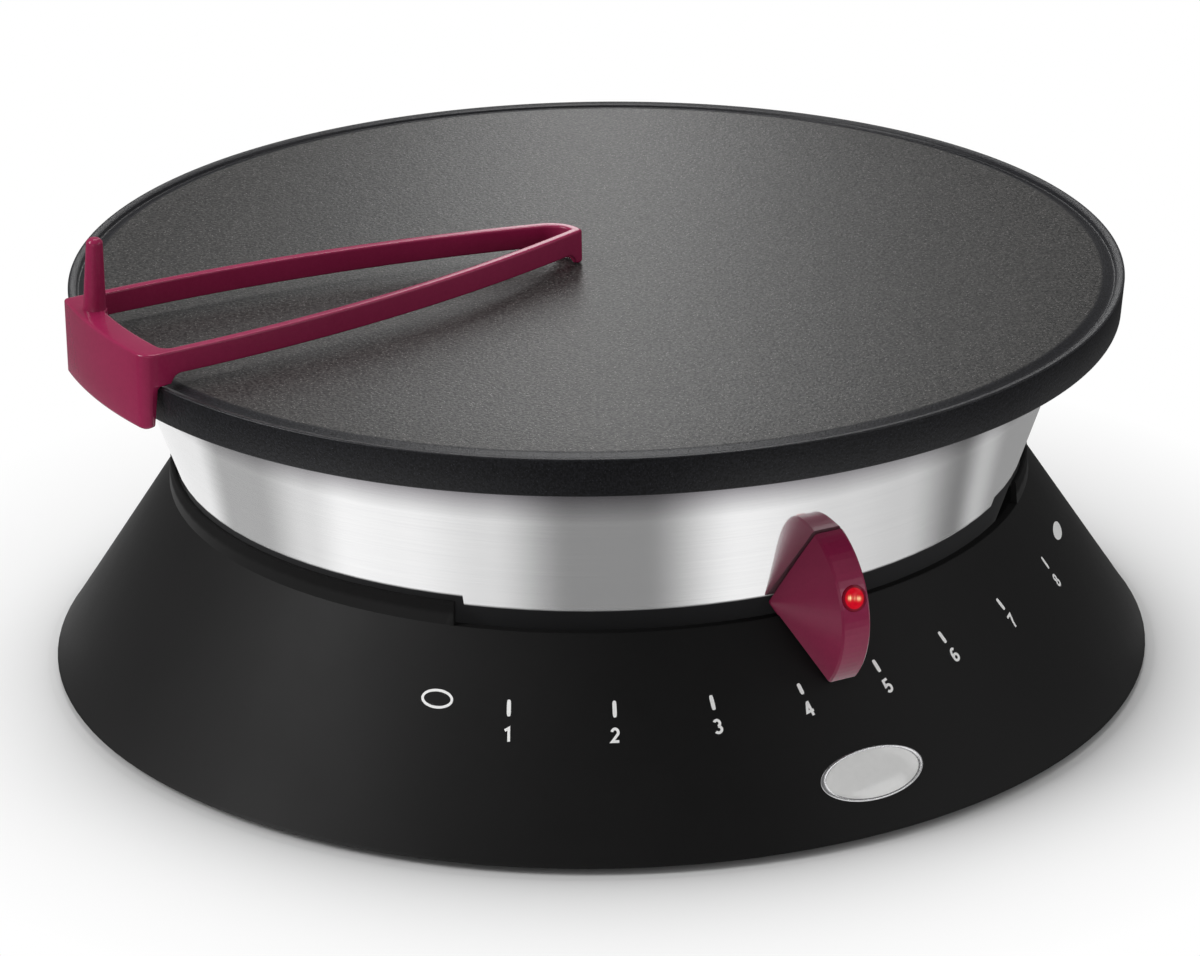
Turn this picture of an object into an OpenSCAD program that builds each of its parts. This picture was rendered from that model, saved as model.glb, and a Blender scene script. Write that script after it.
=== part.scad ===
// Electric crepe maker with a slider thermostat and a wedge-shaped batter spreader.
// Millimetres. It stands on z = 0, its axis is Z, and its front faces -Y.
// An azimuth is an angle round Z: 0 is the front, 90 is the right-hand side (+X).

/* [Griddle plate] */
// Outer diameter of the plate
plate_d = 340; // [336:1:344]
// Height of the rim's top above the table
plate_top = 130.4; // [129:0.2:133]
// Height of the plate's outer wall
rim_h = 12.3; // [11:0.1:14]
// Width of the rim's flat top
rim_w = 2.8; // [2:0.2:4]
// Width of the ring groove inside the rim
groove_w = 4; // [3:0.5:6]
// Thickness of the cast disc
plate_t = 8.4; // [8:0.2:9]

/* [Steel band] */
// Outer radius of the band at its top edge
band_top_r = 155; // [152:0.5:157]
// Radius lost for each millimetre down the band
band_taper = 0.342; // [0.33:0.002:0.35]
// Height of the band's lower edge
band_foot_z = 40; // [39:0.5:41]
// Thickness of the band's sheet
band_t = 0.8; // [0.6:0.1:1]

/* [Base] */
// Outer radius of the skirt at its bottom edge
skirt_foot_r = 180.1; // [178:0.1:182]
// Outer radius where the cone ends and the lip starts
crease_r = 140.5; // [140:0.1:141.5]
// Height of the cone
cone_h = 59.9; // [59:0.1:61]
// Height of the lip above the cone
lip_h = 7.4; // [5:0.1:8]
// Wall of the skirt, measured level
skirt_t = 2.6; // [2.2:0.1:2.8]
// Gap that the feet leave below the skirt
foot_gap = 2; // [1.5:0.5:3]
// Azimuth of the slot's left end, where the lip is cut away
slot_from = -47.1; // [-50:0.1:-46]
// Azimuth of the slot's right end
slot_to = 43.7; // [42:0.1:46]

/* [Slider] */
// Width of the knob's curved outer band
knob_w = 10; // [8:0.5:12]
// Radius of that band, seen from the side
knob_arc_r = 28.6; // [27:0.2:30]
// Half the knob's width at its waist
knob_half = 16.3; // [14:0.1:16.5]
// Diameter of the pilot lens
lens_d = 8; // [6:0.5:9]
// Width of the slider's sheet-metal arm
arm_w = 18; // [16:1:20]

/* [Spreader] */
// Azimuth of the spreader's centre line
spreader_az = -89.5; // [-120:0.5:-60]
// Height of the spreader's top face above the rim
spreader_rise = 10.9; // [10:0.1:12]
// Height of the two blades
blade_h = 7.4; // [6:0.2:8]
// Thickness of the two blades
blade_t = 3.3; // [2.6:0.1:4]
// Radius of each blade's long curve
blade_r = 486.4; // [480:0.4:492]
// Half the width of the wedge at its widest
wedge_half = 30.5; // [29.8:0.1:31.2]
// Radius of the wedge's round nose
nose_r = 11.7; // [11:0.1:12.5]
// Width of the block over the rim, measured from the plate's middle outwards
block_w = 8.7; // [8:0.1:10]
// Length of the peg above the block
peg_h = 22.8; // [18:0.2:28]

/* [Hidden] */
$fn = 96;

// Heights up the middle
under_z = plate_top - plate_t;
seal_t = 2.4;
band_top_z = under_z - seal_t;
flange_z = band_foot_z + band_t;
tray_t = 1.2;
tray_z = flange_z + tray_t;
shield_z = 104;
shield_t = 0.8;
boss_z = 112;

// Plate
plate_r = plate_d / 2;
groove_r = plate_r - rim_w;
cook_r = groove_r - groove_w;
cook_z = plate_top - 0.4;
groove_z = cook_z - 1.2;

// Base
crease_z = foot_gap + cone_h;
lip_z = crease_z + lip_h;
cone_slope = (skirt_foot_r - crease_r) / cone_h;
lip_in_r = 138.4;
lip_out_r = 139.9;
shelf_z = band_foot_z;
shelf_t = 2.5;
shelf_in_r = 116;
shelf_from = 49;
shelf_to = 308;
cover_z = 3;
cover_t = 2;
cover_r = 174;
post_r = 158;
post_azs = [for (i = [0:5]) 30 + 60 * i];
gusset_azs = [for (i = [0:10]) if (i != 5) 60 + 24 * i];
foot_r = 150;
foot_azs = [45, 135, 225, 315];
outlet_z = 17.5;
outlet_seat_y = 163.5;

// Fasteners and what they hold
m4_r = 2;
m5_r = 2.5;
tray_screw_r = 120.5;
tray_screw_azs = [for (i = [0:4]) 62 + 59 * i];
stud_r = 97;
stud_azs = [60, 180, 300];

// Heating element
tube_r = 4;
element_z = under_z - tube_r - 0.05;
outer_ring_r = 122;
inner_ring_r = 72;
leg_az = 110;
ring_turn = 270;
leg_bend_r = 12;
leg_end_z = 88;
clamp_azs = [130, 210, 270, 350];
clamp_z = element_z - tube_r - 0.05;

// Thermostat
bulb_r = 3;
bulb_y = 10;
bulb_z = under_z - bulb_r - 0.05;
capillary_r = 1;
thermostat_h = 24;
bush_z = 36;
spindle_r = 3;

// Slider, in the plane of its azimuth
knob_c = [133.1, 62.9];
knob_top_a = 65.5;
knob_low_a = -47;
waist = [137.7, 66.2];
lens_a = 19.2;
lens_z = knob_arc_r - 0.3;
sheet_gap = 0.7;
sheet_t = 1;
blade_low_z = 33;
blade_top_z = 72;
arm_t = 1.5;
lead_slot_w = 3.8;

// Spreader, with X outwards along its centre line
spreader_top = plate_top + spreader_rise;
blade_z = spreader_top - blade_h;
hook_out_r = 175.4;
hook_in_r = 172;
hook_z = 117;
block_in_r = hook_out_r - block_w;
rest_gap = 0.3;
tip_at = [3, -8.9];
wedge_turn = 2.8;
wedge_long = 154.6;
near_round = 5.5;
far_round = 1;
hook_round = 3.5;
foot_z = cook_z + rest_gap;
foot_l = 3.2;
block_z = plate_top + rest_gap;
hair = 0.02;
peg_at = [167.9, -18];
peg_r = 4;
peg_lean = 3;

// Outer radius of the skirt's cone at height z
function skirt_r(z) = skirt_foot_r - cone_slope * (z - foot_gap);
// Outer radius of the steel band at height z
function band_r(z) = band_top_r - band_taper * (band_top_z - z);
// Point of an arc about c, at angle a
function arc_point(c, r, a) = [c[0] + r * cos(a), c[1] + r * sin(a)];

// Puts children that face +X at azimuth a
module at_az(a) {
    rotate([0, 0, a - 90]) children();
}

// Puts children at radius r and azimuth a
module place(r, a) {
    at_az(a) translate([r, 0, 0]) children();
}

// Revolves a profile of radius and height between two azimuths
module sector(from, to) {
    at_az(from) rotate_extrude(angle = to - from) children();
}

// Round bar from p to q
module rod(p, q, r) {
    v = q - p;
    length = norm(v);
    translate(p)
        rotate([0, acos(v[2] / length), atan2(v[1], v[0])])
            cylinder(r = r, h = length, $fn = 32);
}

// Round bar through a list of points, with ball corners
module bent_rod(points, r) {
    for (i = [1:len(points) - 1]) {
        rod(points[i - 1], points[i], r);
    }
    for (i = [1:len(points) - 2]) {
        translate(points[i]) sphere(r = 1.06 * r, $fn = 32);
    }
}

// Rectangle with round corners, centred
module round_rect(w, h, r) {
    square([w - 2 * r, h], center = true);
    square([w, h - 2 * r], center = true);
    for (x = [-1, 1], y = [-1, 1]) {
        translate([x * (w / 2 - r), y * (h / 2 - r)]) circle(r = r, $fn = 32);
    }
}

// Pan-head screw, its head's seat at z = 0 and its shank along +Z
module pan_screw(r, length) {
    cylinder(r = r, h = length, $fn = 32);
    difference() {
        translate([0, 0, -0.9 * r]) cylinder(r1 = 1.6 * r, r2 = 1.9 * r, h = 0.9 * r, $fn = 48);
        for (turn = [0, 90]) {
            rotate([0, 0, turn])
                translate([-1.1 * r, -0.22 * r, -r]) cube([2.2 * r, 0.44 * r, 0.6 * r]);
        }
    }
}

// ---- Base ----

// Solid cone that keeps inner features inside the skirt's wall
module skirt_core() {
    translate([0, 0, foot_gap])
        cylinder(r1 = skirt_foot_r - skirt_t / 2, r2 = crease_r - skirt_t / 2, h = cone_h, $fn = 180);
}

// Cone wall with a softened bottom edge and the upstanding lip
module skirt_wall() {
    rotate_extrude($fn = 180) polygon([
        [skirt_foot_r - skirt_t, foot_gap],
        [skirt_foot_r - 0.9, foot_gap],
        [skirt_foot_r - 0.1, foot_gap + 0.35],
        [skirt_r(foot_gap + 1.1), foot_gap + 1.1],
        [crease_r, crease_z],
        [lip_out_r, lip_z - 0.4],
        [lip_out_r - 0.4, lip_z],
        [lip_in_r + 0.3, lip_z],
        [lip_in_r, lip_z - 0.3],
        [lip_in_r, crease_z + 0.5],
        [crease_r - skirt_t, crease_z],
    ]);
}

// Level shelf that carries the band, with gussets, screw bosses and cover posts
module skirt_inside() {
    intersection() {
        skirt_core();
        union() {
            sector(shelf_from, shelf_to)
                translate([shelf_in_r, shelf_z - shelf_t]) square([60, shelf_t]);
            for (a = gusset_azs) {
                at_az(a) rotate([90, 0, 0]) linear_extrude(2, center = true) polygon([
                    [126, shelf_z - shelf_t + 0.1],
                    [172, shelf_z - shelf_t + 0.1],
                    [172, 12],
                ]);
            }
            for (a = tray_screw_azs) {
                place(tray_screw_r, a) translate([0, 0, 27]) cylinder(r = 4.5, h = shelf_z - shelf_t - 26.9);
            }
            for (a = post_azs) {
                place(post_r, a) translate([0, 0, cover_z + cover_t]) cylinder(r = 4.5, h = 40);
            }
            translate([0, outlet_seat_y - 3.5, outlet_z]) rotate([-90, 0, 0]) cylinder(r = 11.5, h = 40);
        }
    }
}

module base_skirt() {
    color("#222326")
    difference() {
        union() {
            skirt_wall();
            skirt_inside();
        }
        // slot: the lip is cut away in front
        sector(slot_from, slot_to)
            translate([lip_in_r - 4, crease_z]) square([10, lip_h + 5]);
        for (a = tray_screw_azs) {
            place(tray_screw_r, a) translate([0, 0, 28]) cylinder(r = m4_r, h = 15, $fn = 32);
        }
        for (a = post_azs) {
            place(post_r, a) translate([0, 0, cover_z]) cylinder(r = 1.5, h = 14, $fn = 32);
        }
        // cord outlet: a stepped hole with a flat seat
        translate([0, outlet_seat_y, outlet_z]) rotate([-90, 0, 0]) cylinder(r = 9, h = 30);
        translate([0, 140, outlet_z]) rotate([-90, 0, 0]) cylinder(r = 6, h = 40);
    }
}

module bottom_cover() {
    color("#2a2a2c")
    difference() {
        union() {
            translate([0, 0, cover_z]) cylinder(r = cover_r, h = cover_t, $fn = 180);
            // stiffening rings
            for (r = [62, 128]) {
                translate([0, 0, cover_z + cover_t]) rotate_extrude() translate([r, 0]) square([2, 4]);
            }
        }
        for (a = post_azs) {
            place(post_r, a) translate([0, 0, cover_z - 1]) cylinder(r = 1.7, h = 5, $fn = 32);
        }
        for (a = foot_azs) {
            place(foot_r, a) translate([0, 0, cover_z - 1]) cylinder(r = 4.1, h = 5, $fn = 48);
        }
        // air slots, in three rings
        for (ring = [0:2], i = [0:23]) {
            place(80 + 16 * ring, 15 * i) translate([0, 0, cover_z - 1])
                linear_extrude(cover_t + 2) round_rect(10, 3.2, 1.59);
        }
    }
}

module rubber_feet() {
    color("#1b1b1b")
    for (a = foot_azs) {
        place(foot_r, a) rotate_extrude($fn = 64) polygon([
            [0, 0], [8.6, 0], [9.6, 1], [9.6, cover_z], [4, cover_z],
            [4, cover_z + cover_t], [5.4, cover_z + cover_t], [4.6, cover_z + cover_t + 3.2], [0, cover_z + cover_t + 3.2],
        ]);
    }
}

module cover_screws() {
    color("silver")
    for (a = post_azs) {
        place(post_r, a) translate([0, 0, cover_z]) pan_screw(1.45, 11);
    }
}

module cord_gland() {
    color("#151515")
    translate([0, outlet_seat_y, outlet_z]) rotate([-90, 0, 0]) rotate_extrude($fn = 64) polygon([
        [4.5, -6.5], [7, -6.5], [7, -4.5], [5.9, -3.6], [5.9, 0],
        [8.8, 0], [8.8, 2.4], [7.8, 3.2], [5.6, 3.2], [4.5, 2.2],
    ]);
}

// ---- Body ----

module inner_tray() {
    color("#b9bcc0")
    difference() {
        union() {
            translate([0, 0, flange_z]) cylinder(r = 126, h = tray_t, $fn = 128);
            translate([0, 0, flange_z]) rotate_extrude($fn = 128) translate([124.8, 0]) square([1.2, 6]);
        }
        translate([0, 0, flange_z - 1]) cylinder(r = 5.1, h = 4);
        for (a = tray_screw_azs) {
            place(tray_screw_r, a) translate([0, 0, flange_z - 1]) cylinder(r = m4_r + 0.1, h = 20, $fn = 32);
        }
        for (a = stud_azs) {
            place(stud_r, a) translate([0, 0, flange_z - 1]) cylinder(r = m5_r + 0.1, h = 4, $fn = 32);
        }
        for (x = [-14, 14]) {
            translate([x, 0, flange_z - 1]) cylinder(r = m4_r + 0.1, h = 4, $fn = 32);
        }
        place(92, 205) translate([0, 0, flange_z - 1]) cylinder(r = 7, h = 4, $fn = 48);
        translate([34, 62, flange_z - 1]) cylinder(r = m4_r, h = 4, $fn = 32);
        for (x = [-46, -14]) {
            translate([x, 62, flange_z - 1]) cylinder(r = 1.6, h = 4, $fn = 32);
        }
    }
}

module tray_screws() {
    color("silver")
    for (a = tray_screw_azs) {
        place(tray_screw_r, a) translate([0, 0, tray_z]) mirror([0, 0, 1]) pan_screw(m4_r - 0.05, 12);
    }
}

module steel_band() {
    color("#d9dadb")
    difference() {
        rotate_extrude($fn = 180) polygon([
            [117, band_foot_z], [band_r(band_foot_z), band_foot_z],
            [band_top_r, band_top_z], [147, band_top_z],
            [147, band_top_z - band_t], [band_r(band_top_z - band_t) - band_t, band_top_z - band_t],
            [band_r(flange_z) - band_t, flange_z], [117, flange_z],
        ]);
        for (a = tray_screw_azs) {
            place(tray_screw_r, a) translate([0, 0, band_foot_z - 1]) cylinder(r = m4_r + 0.1, h = 4, $fn = 32);
        }
    }
}

module seal_ring() {
    color("#e6e2d8")
    rotate_extrude($fn = 128) translate([147.5, band_top_z]) square([7, seal_t]);
}

module griddle_plate() {
    color("#3a3836")
    difference() {
        union() {
            rotate_extrude($fn = 180) polygon([
                [0, cook_z], [cook_r, cook_z],
                [cook_r + 0.4, groove_z + 0.3], [cook_r + 1, groove_z],
                [groove_r - 0.6, groove_z], [groove_r - 0.1, groove_z + 0.3],
                [groove_r, plate_top - 0.3], [groove_r + 0.3, plate_top],
                [plate_r - 0.3, plate_top], [plate_r, plate_top - 0.3],
                [plate_r - 1, plate_top - rim_h + 0.4], [plate_r - 1.4, plate_top - rim_h],
                [plate_r - 5.6, plate_top - rim_h], [plate_r - 7, under_z], [0, under_z],
            ]);
            for (a = stud_azs) {
                place(stud_r, a) translate([0, 0, boss_z]) cylinder(r = 6, h = under_z - boss_z + 1, $fn = 64);
            }
            for (a = clamp_azs) {
                place(stud_r, a) translate([0, 0, clamp_z]) cylinder(r = 4.5, h = under_z - clamp_z + 1, $fn = 64);
            }
        }
        for (a = stud_azs) {
            place(stud_r, a) translate([0, 0, boss_z - 1]) cylinder(r = m5_r, h = 13, $fn = 32);
        }
        for (a = clamp_azs) {
            place(stud_r, a) translate([0, 0, clamp_z - 1]) cylinder(r = m4_r, h = 9, $fn = 32);
        }
        for (x = [-18, 8]) {
            translate([x, bulb_y - 8, under_z - 1]) cylinder(r = m4_r, h = 6, $fn = 32);
        }
    }
}

module tie_studs() {
    color("silver")
    for (a = stud_azs) {
        place(stud_r, a) translate([0, 0, bush_z - 1]) cylinder(r = m5_r - 0.05, h = 87, $fn = 32);
    }
}

module stud_nuts() {
    color("silver")
    for (a = stud_azs) {
        place(stud_r, a) translate([0, 0, flange_z - 4]) difference() {
            cylinder(r = 4.6, h = 4, $fn = 6);
            translate([0, 0, -1]) cylinder(r = m5_r, h = 6, $fn = 32);
        }
    }
}

module spacer_tubes() {
    color("#c8c8c8")
    for (a = stud_azs) {
        place(stud_r, a) {
            translate([0, 0, tray_z]) spacer(shield_z - tray_z);
            translate([0, 0, shield_z + shield_t]) spacer(boss_z - shield_z - shield_t);
        }
    }
}

module spacer(length) {
    difference() {
        cylinder(r = 4, h = length, $fn = 48);
        translate([0, 0, -1]) cylinder(r = m5_r + 0.1, h = length + 2, $fn = 32);
    }
}

module heat_shield() {
    color("#c4c6c8")
    difference() {
        rotate_extrude($fn = 128) polygon([
            [0, shield_z], [134.3, shield_z], [140.5, shield_z + 10],
            [139.6, shield_z + 10], [133.8, shield_z + shield_t], [0, shield_z + shield_t],
        ]);
        for (a = stud_azs) {
            place(stud_r, a) translate([0, 0, shield_z - 1]) cylinder(r = m5_r + 0.2, h = 4, $fn = 32);
        }
        for (r = [outer_ring_r, inner_ring_r]) {
            at_az(leg_az) translate([r, -leg_bend_r, shield_z - 1]) cylinder(r = 7, h = 4, $fn = 48);
        }
        translate([40, bulb_y, shield_z - 1]) cylinder(r = 4, h = 4, $fn = 48);
    }
}

// ---- Heating element ----

// Cold leg: the tube turns down from a ring's end
module cold_leg(r) {
    translate([r, 0, element_z - leg_bend_r]) {
        rotate([180, -90, 0]) rotate_extrude(angle = 90) translate([leg_bend_r, 0]) circle(r = tube_r, $fn = 32);
        translate([0, -leg_bend_r, leg_end_z - element_z + leg_bend_r])
            cylinder(r = tube_r, h = element_z - leg_bend_r - leg_end_z, $fn = 32);
        // pin and spade tab
        translate([0, -leg_bend_r, leg_end_z - element_z + leg_bend_r - 6])
            cylinder(r = 1.5, h = 6, $fn = 32);
        translate([-3.15, -leg_bend_r - 0.4, leg_end_z - element_z + leg_bend_r - 14])
            cube([6.3, 0.8, 9]);
    }
}

module heating_element() {
    color("#5a5450")
    at_az(leg_az) {
        for (r = [outer_ring_r, inner_ring_r]) {
            translate([0, 0, element_z]) rotate_extrude(angle = ring_turn)
                translate([r, 0]) circle(r = tube_r, $fn = 32);
            cold_leg(r);
        }
        // return bend between the two rings
        rotate([0, 0, ring_turn]) translate([(outer_ring_r + inner_ring_r) / 2, 0, element_z])
            rotate_extrude(angle = 180) translate([(outer_ring_r - inner_ring_r) / 2, 0])
                circle(r = tube_r, $fn = 32);
    }
}

module terminal_beads() {
    color("#efe9dc")
    for (r = [outer_ring_r, inner_ring_r]) {
        at_az(leg_az) translate([r, -leg_bend_r, leg_end_z - 4]) difference() {
            cylinder(r = 3.6, h = 4, $fn = 48);
            translate([0, 0, -1]) cylinder(r = 1.55, h = 6, $fn = 32);
        }
    }
}

module element_clamps() {
    color("#a9acb0")
    for (a = clamp_azs) {
        at_az(a) translate([0, 0, clamp_z - 1.5]) difference() {
            union() {
                translate([inner_ring_r - 8, -6, 0]) cube([outer_ring_r - inner_ring_r + 16, 12, 1.5]);
                translate([inner_ring_r - 8, -6, 0]) cube([1.5, 12, 5]);
                translate([outer_ring_r + 6.5, -6, 0]) cube([1.5, 12, 5]);
            }
            translate([stud_r, 0, -1]) cylinder(r = m4_r + 0.1, h = 4, $fn = 32);
        }
    }
}

module clamp_screws() {
    color("silver")
    for (a = clamp_azs) {
        place(stud_r, a) translate([0, 0, clamp_z - 1.5]) pan_screw(m4_r - 0.05, 8);
    }
}

// ---- Thermostat ----

// Bulb under the plate, and its capillary down to the thermostat, all in one upright plane
module sensor_bulb() {
    color("#b87333")
    translate([0, bulb_y, 0]) {
        translate([-45, 0, bulb_z]) rotate([0, 90, 0]) cylinder(r = bulb_r, h = 66, $fn = 48);
        translate([21, 0, bulb_z]) rotate([0, 90, 0]) cylinder(r1 = bulb_r, r2 = capillary_r, h = 4, $fn = 48);
        translate([25, 0, bulb_z]) rotate([0, 90, 0]) cylinder(r = capillary_r, h = 5, $fn = 24);
        capillary_bend([30, 0, bulb_z - 10], 10, 0);
        translate([40, 0, 84]) cylinder(r = capillary_r, h = bulb_z - 94, $fn = 24);
        capillary_bend([34, 0, 84], 6, 90);
        translate([21, 0, 78]) rotate([0, 90, 0]) cylinder(r = capillary_r, h = 13, $fn = 24);
        capillary_bend([21, 0, 72], 6, 270);
        translate([15, 0, tray_z + thermostat_h]) cylinder(r = capillary_r, h = 72 - tray_z - thermostat_h, $fn = 24);
    }
}

// Quarter bend of the capillary in the XZ plane about c, its first end turned by start
module capillary_bend(c, r, start) {
    translate(c) rotate([0, start, 0]) rotate([90, 0, 0])
        rotate_extrude(angle = 90) translate([r, 0]) circle(r = capillary_r, $fn = 24);
}

module bulb_clip() {
    color("#a9acb0")
    translate([-21, bulb_y, 0]) difference() {
        union() {
            translate([0, 0, bulb_z]) rotate([0, 90, 0]) cylinder(r = bulb_r + 1, h = 32, $fn = 48);
            translate([0, -12, under_z - 1]) cube([32, 12, 1]);
        }
        translate([-1, 0, bulb_z]) rotate([0, 90, 0]) cylinder(r = bulb_r + 0.05, h = 34, $fn = 48);
        translate([-1, -6, under_z]) cube([34, 12, 6]);
        translate([-1, -bulb_r, bulb_z]) cube([34, 2 * bulb_r, 6]);
        for (x = [3, 29]) {
            translate([x, -8, under_z - 2]) cylinder(r = m4_r + 0.1, h = 4, $fn = 32);
        }
    }
}

module clip_screws() {
    color("silver")
    for (x = [-18, 8]) {
        translate([x, bulb_y - 8, under_z - 1]) pan_screw(m4_r - 0.05, 5);
    }
}

module thermostat_body() {
    color("#d8cfbf")
    difference() {
        union() {
            translate([0, 0, tray_z]) linear_extrude(thermostat_h - 4) round_rect(44, 38, 3);
            translate([0, 0, tray_z + thermostat_h - 4]) linear_extrude(4) round_rect(38, 32, 3);
            translate([0, 0, bush_z]) cylinder(r = 5, h = 8, $fn = 64);
            for (x = [-12, 12]) {
                translate([x - 3.15, 18, tray_z + 12]) cube([6.3, 7, 0.8]);
            }
        }
        translate([0, 0, bush_z - 1]) cylinder(r = spindle_r + 0.05, h = 25, $fn = 64);
        for (x = [-14, 14]) {
            translate([x, 0, tray_z - 1]) cylinder(r = m4_r, h = 9, $fn = 32);
        }
    }
}

module thermostat_screws() {
    color("silver")
    for (x = [-14, 14]) {
        translate([x, 0, flange_z]) pan_screw(m4_r - 0.05, 8);
    }
}

module thermostat_spindle() {
    color("#c9a24a")
    translate([0, 0, 24]) cylinder(r = spindle_r, h = 35.5, $fn = 64);
}

// ---- Slider ----

module arm_hub() {
    color("#c9a24a")
    difference() {
        union() {
            translate([0, 0, 24]) cylinder(r = 7, h = 6, $fn = 64);
            translate([0, 0, 29]) cylinder(r = 9, h = 4, $fn = 64);
            translate([0, 0, 32]) cylinder(r = 5, h = 3.2, $fn = 64);
        }
        translate([0, 0, 20]) cylinder(r = spindle_r + 0.02, h = 20, $fn = 64);
        translate([0, 0, 26.5]) rotate([-90, 0, 0]) cylinder(r = 1.5, h = 12, $fn = 32);
    }
}

module hub_screw() {
    color("#333333")
    translate([0, spindle_r + 0.05, 26.5]) rotate([-90, 0, 0]) cylinder(r = 1.45, h = 4, $fn = 32);
}

// Strip of the blade, which follows the band's slope at a steady gap
module blade_strip(gap, thickness, low, high, half) {
    sector(-half, half) polygon([
        [band_r(low) + gap, low], [band_r(low) + gap + thickness, low],
        [band_r(high) + gap + thickness, high], [band_r(high) + gap, high],
    ]);
}

module slider_arm() {
    color("#9da0a4")
    difference() {
        union() {
            translate([0, 0, blade_low_z]) cylinder(r = 13, h = arm_t, $fn = 64);
            at_az(0) {
                translate([0, -arm_w / 2, blade_low_z])
                    cube([band_r(blade_low_z) + 0.9, arm_w, arm_t]);
                // folded edges
                for (y = [-arm_w / 2, arm_w / 2 - arm_t]) {
                    translate([16, y, blade_low_z - 4]) cube([100, arm_t, 5]);
                }
            }
            blade_strip(sheet_gap, sheet_t, blade_low_z + 0.4, blade_top_z, 3.9);
        }
        translate([0, 0, blade_low_z - 1]) cylinder(r = 5.02, h = 4, $fn = 64);
        at_az(0) {
            // way for the lamp's leads, in the strip and up the blade
            translate([116, -lead_slot_w / 2, blade_low_z - 1]) cube([30, lead_slot_w, 36]);
            for (y = [-6, 6]) {
                translate([130, y, 68]) rotate([0, 90, 0]) cylinder(r = 1.6, h = 20, $fn = 32);
            }
        }
    }
}

// Side outline of the knob's curved band
module knob_side(r) {
    steps = 26;
    polygon([
        for (i = [0:steps]) arc_point(knob_c, r, knob_low_a + (knob_top_a - knob_low_a) * i / steps)
    ]);
}

// Wedge between the curved band and the straight waist
module knob_blank() {
    at_az(0) hull() {
        rotate([90, 0, 0]) linear_extrude(knob_w, center = true) knob_side(knob_arc_r - 0.6);
        rotate([90, 0, 0]) linear_extrude(knob_w - 1.4, center = true) knob_side(knob_arc_r);
        translate([waist[0], 0, waist[1]]) rotate([90, 0, 0])
            cylinder(r = 0.6, h = 2 * knob_half, center = true, $fn = 16);
    }
}

// Points children along the lens, from the centre of the knob's band
module along_lens() {
    at_az(0) translate([knob_c[0], 0, knob_c[1]]) rotate([0, 90 - lens_a, 0]) children();
}

module slider_knob() {
    color("#7d2644")
    difference() {
        union() {
            difference() {
                knob_blank();
                // seat of the arm's blade
                blade_strip(-10, sheet_gap + sheet_t + 10.05, 58, blade_top_z + 0.1, 4);
            }
            // stakes that hold the blade
            at_az(0) for (y = [-6, 6]) {
                translate([137, y, 68]) rotate([0, 90, 0]) cylinder(r = 1.55, h = 5, $fn = 32);
            }
        }
        // clearance to the band and to the base
        rotate_extrude($fn = 180) polygon([
            [0, 30], [band_r(30) + sheet_gap, 30], [band_r(110) + sheet_gap, 110], [0, 110],
        ]);
        rotate_extrude($fn = 180) polygon([
            [0, 30], [skirt_r(30) + 0.6, 30], [crease_r + 0.6, crease_z + 0.6], [0, crease_z + 0.6],
        ]);
        along_lens() {
            translate([0, 0, 22.9]) cylinder(r = lens_d / 2 - 0.45, h = 12, $fn = 64);
            translate([0, 0, lens_z - 0.92]) cylinder(r = lens_d / 2 + 0.03, h = 5, $fn = 64);
            translate([0, 0, lens_z - 0.15]) cylinder(r1 = lens_d / 2, r2 = lens_d / 2 + 2, h = 2, $fn = 64);
            translate([0, 0, 9]) cylinder(r = 3, h = 20, $fn = 48);
            translate([0, 0, 2]) cylinder(r = 2, h = 10, $fn = 32);
        }
    }
}

module pilot_lamp() {
    color("#f5d9c8")
    along_lens() {
        translate([0, 0, 10]) cylinder(r = 2.6, h = 9.5, $fn = 48);
        translate([0, 0, 19.5]) sphere(r = 2.6, $fn = 48);
    }
}

module lamp_lens() {
    cap_h = 0.8;
    cap_r = (pow(lens_d / 2, 2) + pow(cap_h, 2)) / (2 * cap_h);
    color("#e0201c")
    along_lens() {
        translate([0, 0, 23]) cylinder(r = lens_d / 2 - 0.5, h = lens_z - 23.4, $fn = 64);
        intersection() {
            translate([0, 0, lens_z - 0.9]) cylinder(r = lens_d / 2, h = 4, $fn = 64);
            translate([0, 0, lens_z + cap_h - cap_r]) sphere(r = cap_r + hair, $fn = 128);
        }
    }
}

module lamp_leads() {
    // close to the height at which the axis of the lens crosses the blade
    bend_z = 64.1;
    color("#c33a2c")
    at_az(0) for (y = [-1.1, 1.1]) {
        bent_rod([
            [knob_c[0] + 9.6 * cos(lens_a), y, knob_c[1] + 9.6 * sin(lens_a)],
            [band_r(bend_z) + 1.2, y, bend_z],
            [band_r(38) + 1.2, y, 38],
            [118, y, 31.8],
            [14, y, 31.8],
        ], 0.55);
    }
}

// ---- Electrics on the tray ----

module thermal_cutout() {
    color("#6f6a62")
    translate([-60, -10, shield_z]) mirror([0, 0, 1]) {
        linear_extrude(0.8) round_rect(26, 9, 4.4);
        cylinder(r = 8, h = 10, $fn = 64);
        for (x = [-4.5, 4.5]) {
            translate([x - 0.4, -3.15, 9]) cube([0.8, 6.3, 8]);
        }
    }
}

module terminal_block() {
    color("#e9e4d6")
    translate([-30, 62, tray_z]) difference() {
        union() {
            translate([-22, -9, 0]) cube([44, 18, 8]);
            for (x = [-14, 0, 14]) {
                translate([x - 5.5, -7, 7]) cube([11, 14, 8]);
            }
        }
        for (x = [-14, 0, 14]) {
            translate([x, -10, 10.5]) rotate([-90, 0, 0]) cylinder(r = 2.2, h = 20, $fn = 32);
            translate([x, 0, 11]) cylinder(r = 2, h = 6, $fn = 32);
        }
        for (x = [-16, 16]) {
            translate([x, 0, -1]) cylinder(r = 1.6, h = 4, $fn = 32);
        }
    }
}

module earth_screw() {
    color("#c9a24a")
    translate([34, 62, tray_z]) mirror([0, 0, 1]) pan_screw(m4_r - 0.05, 7);
}

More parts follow.
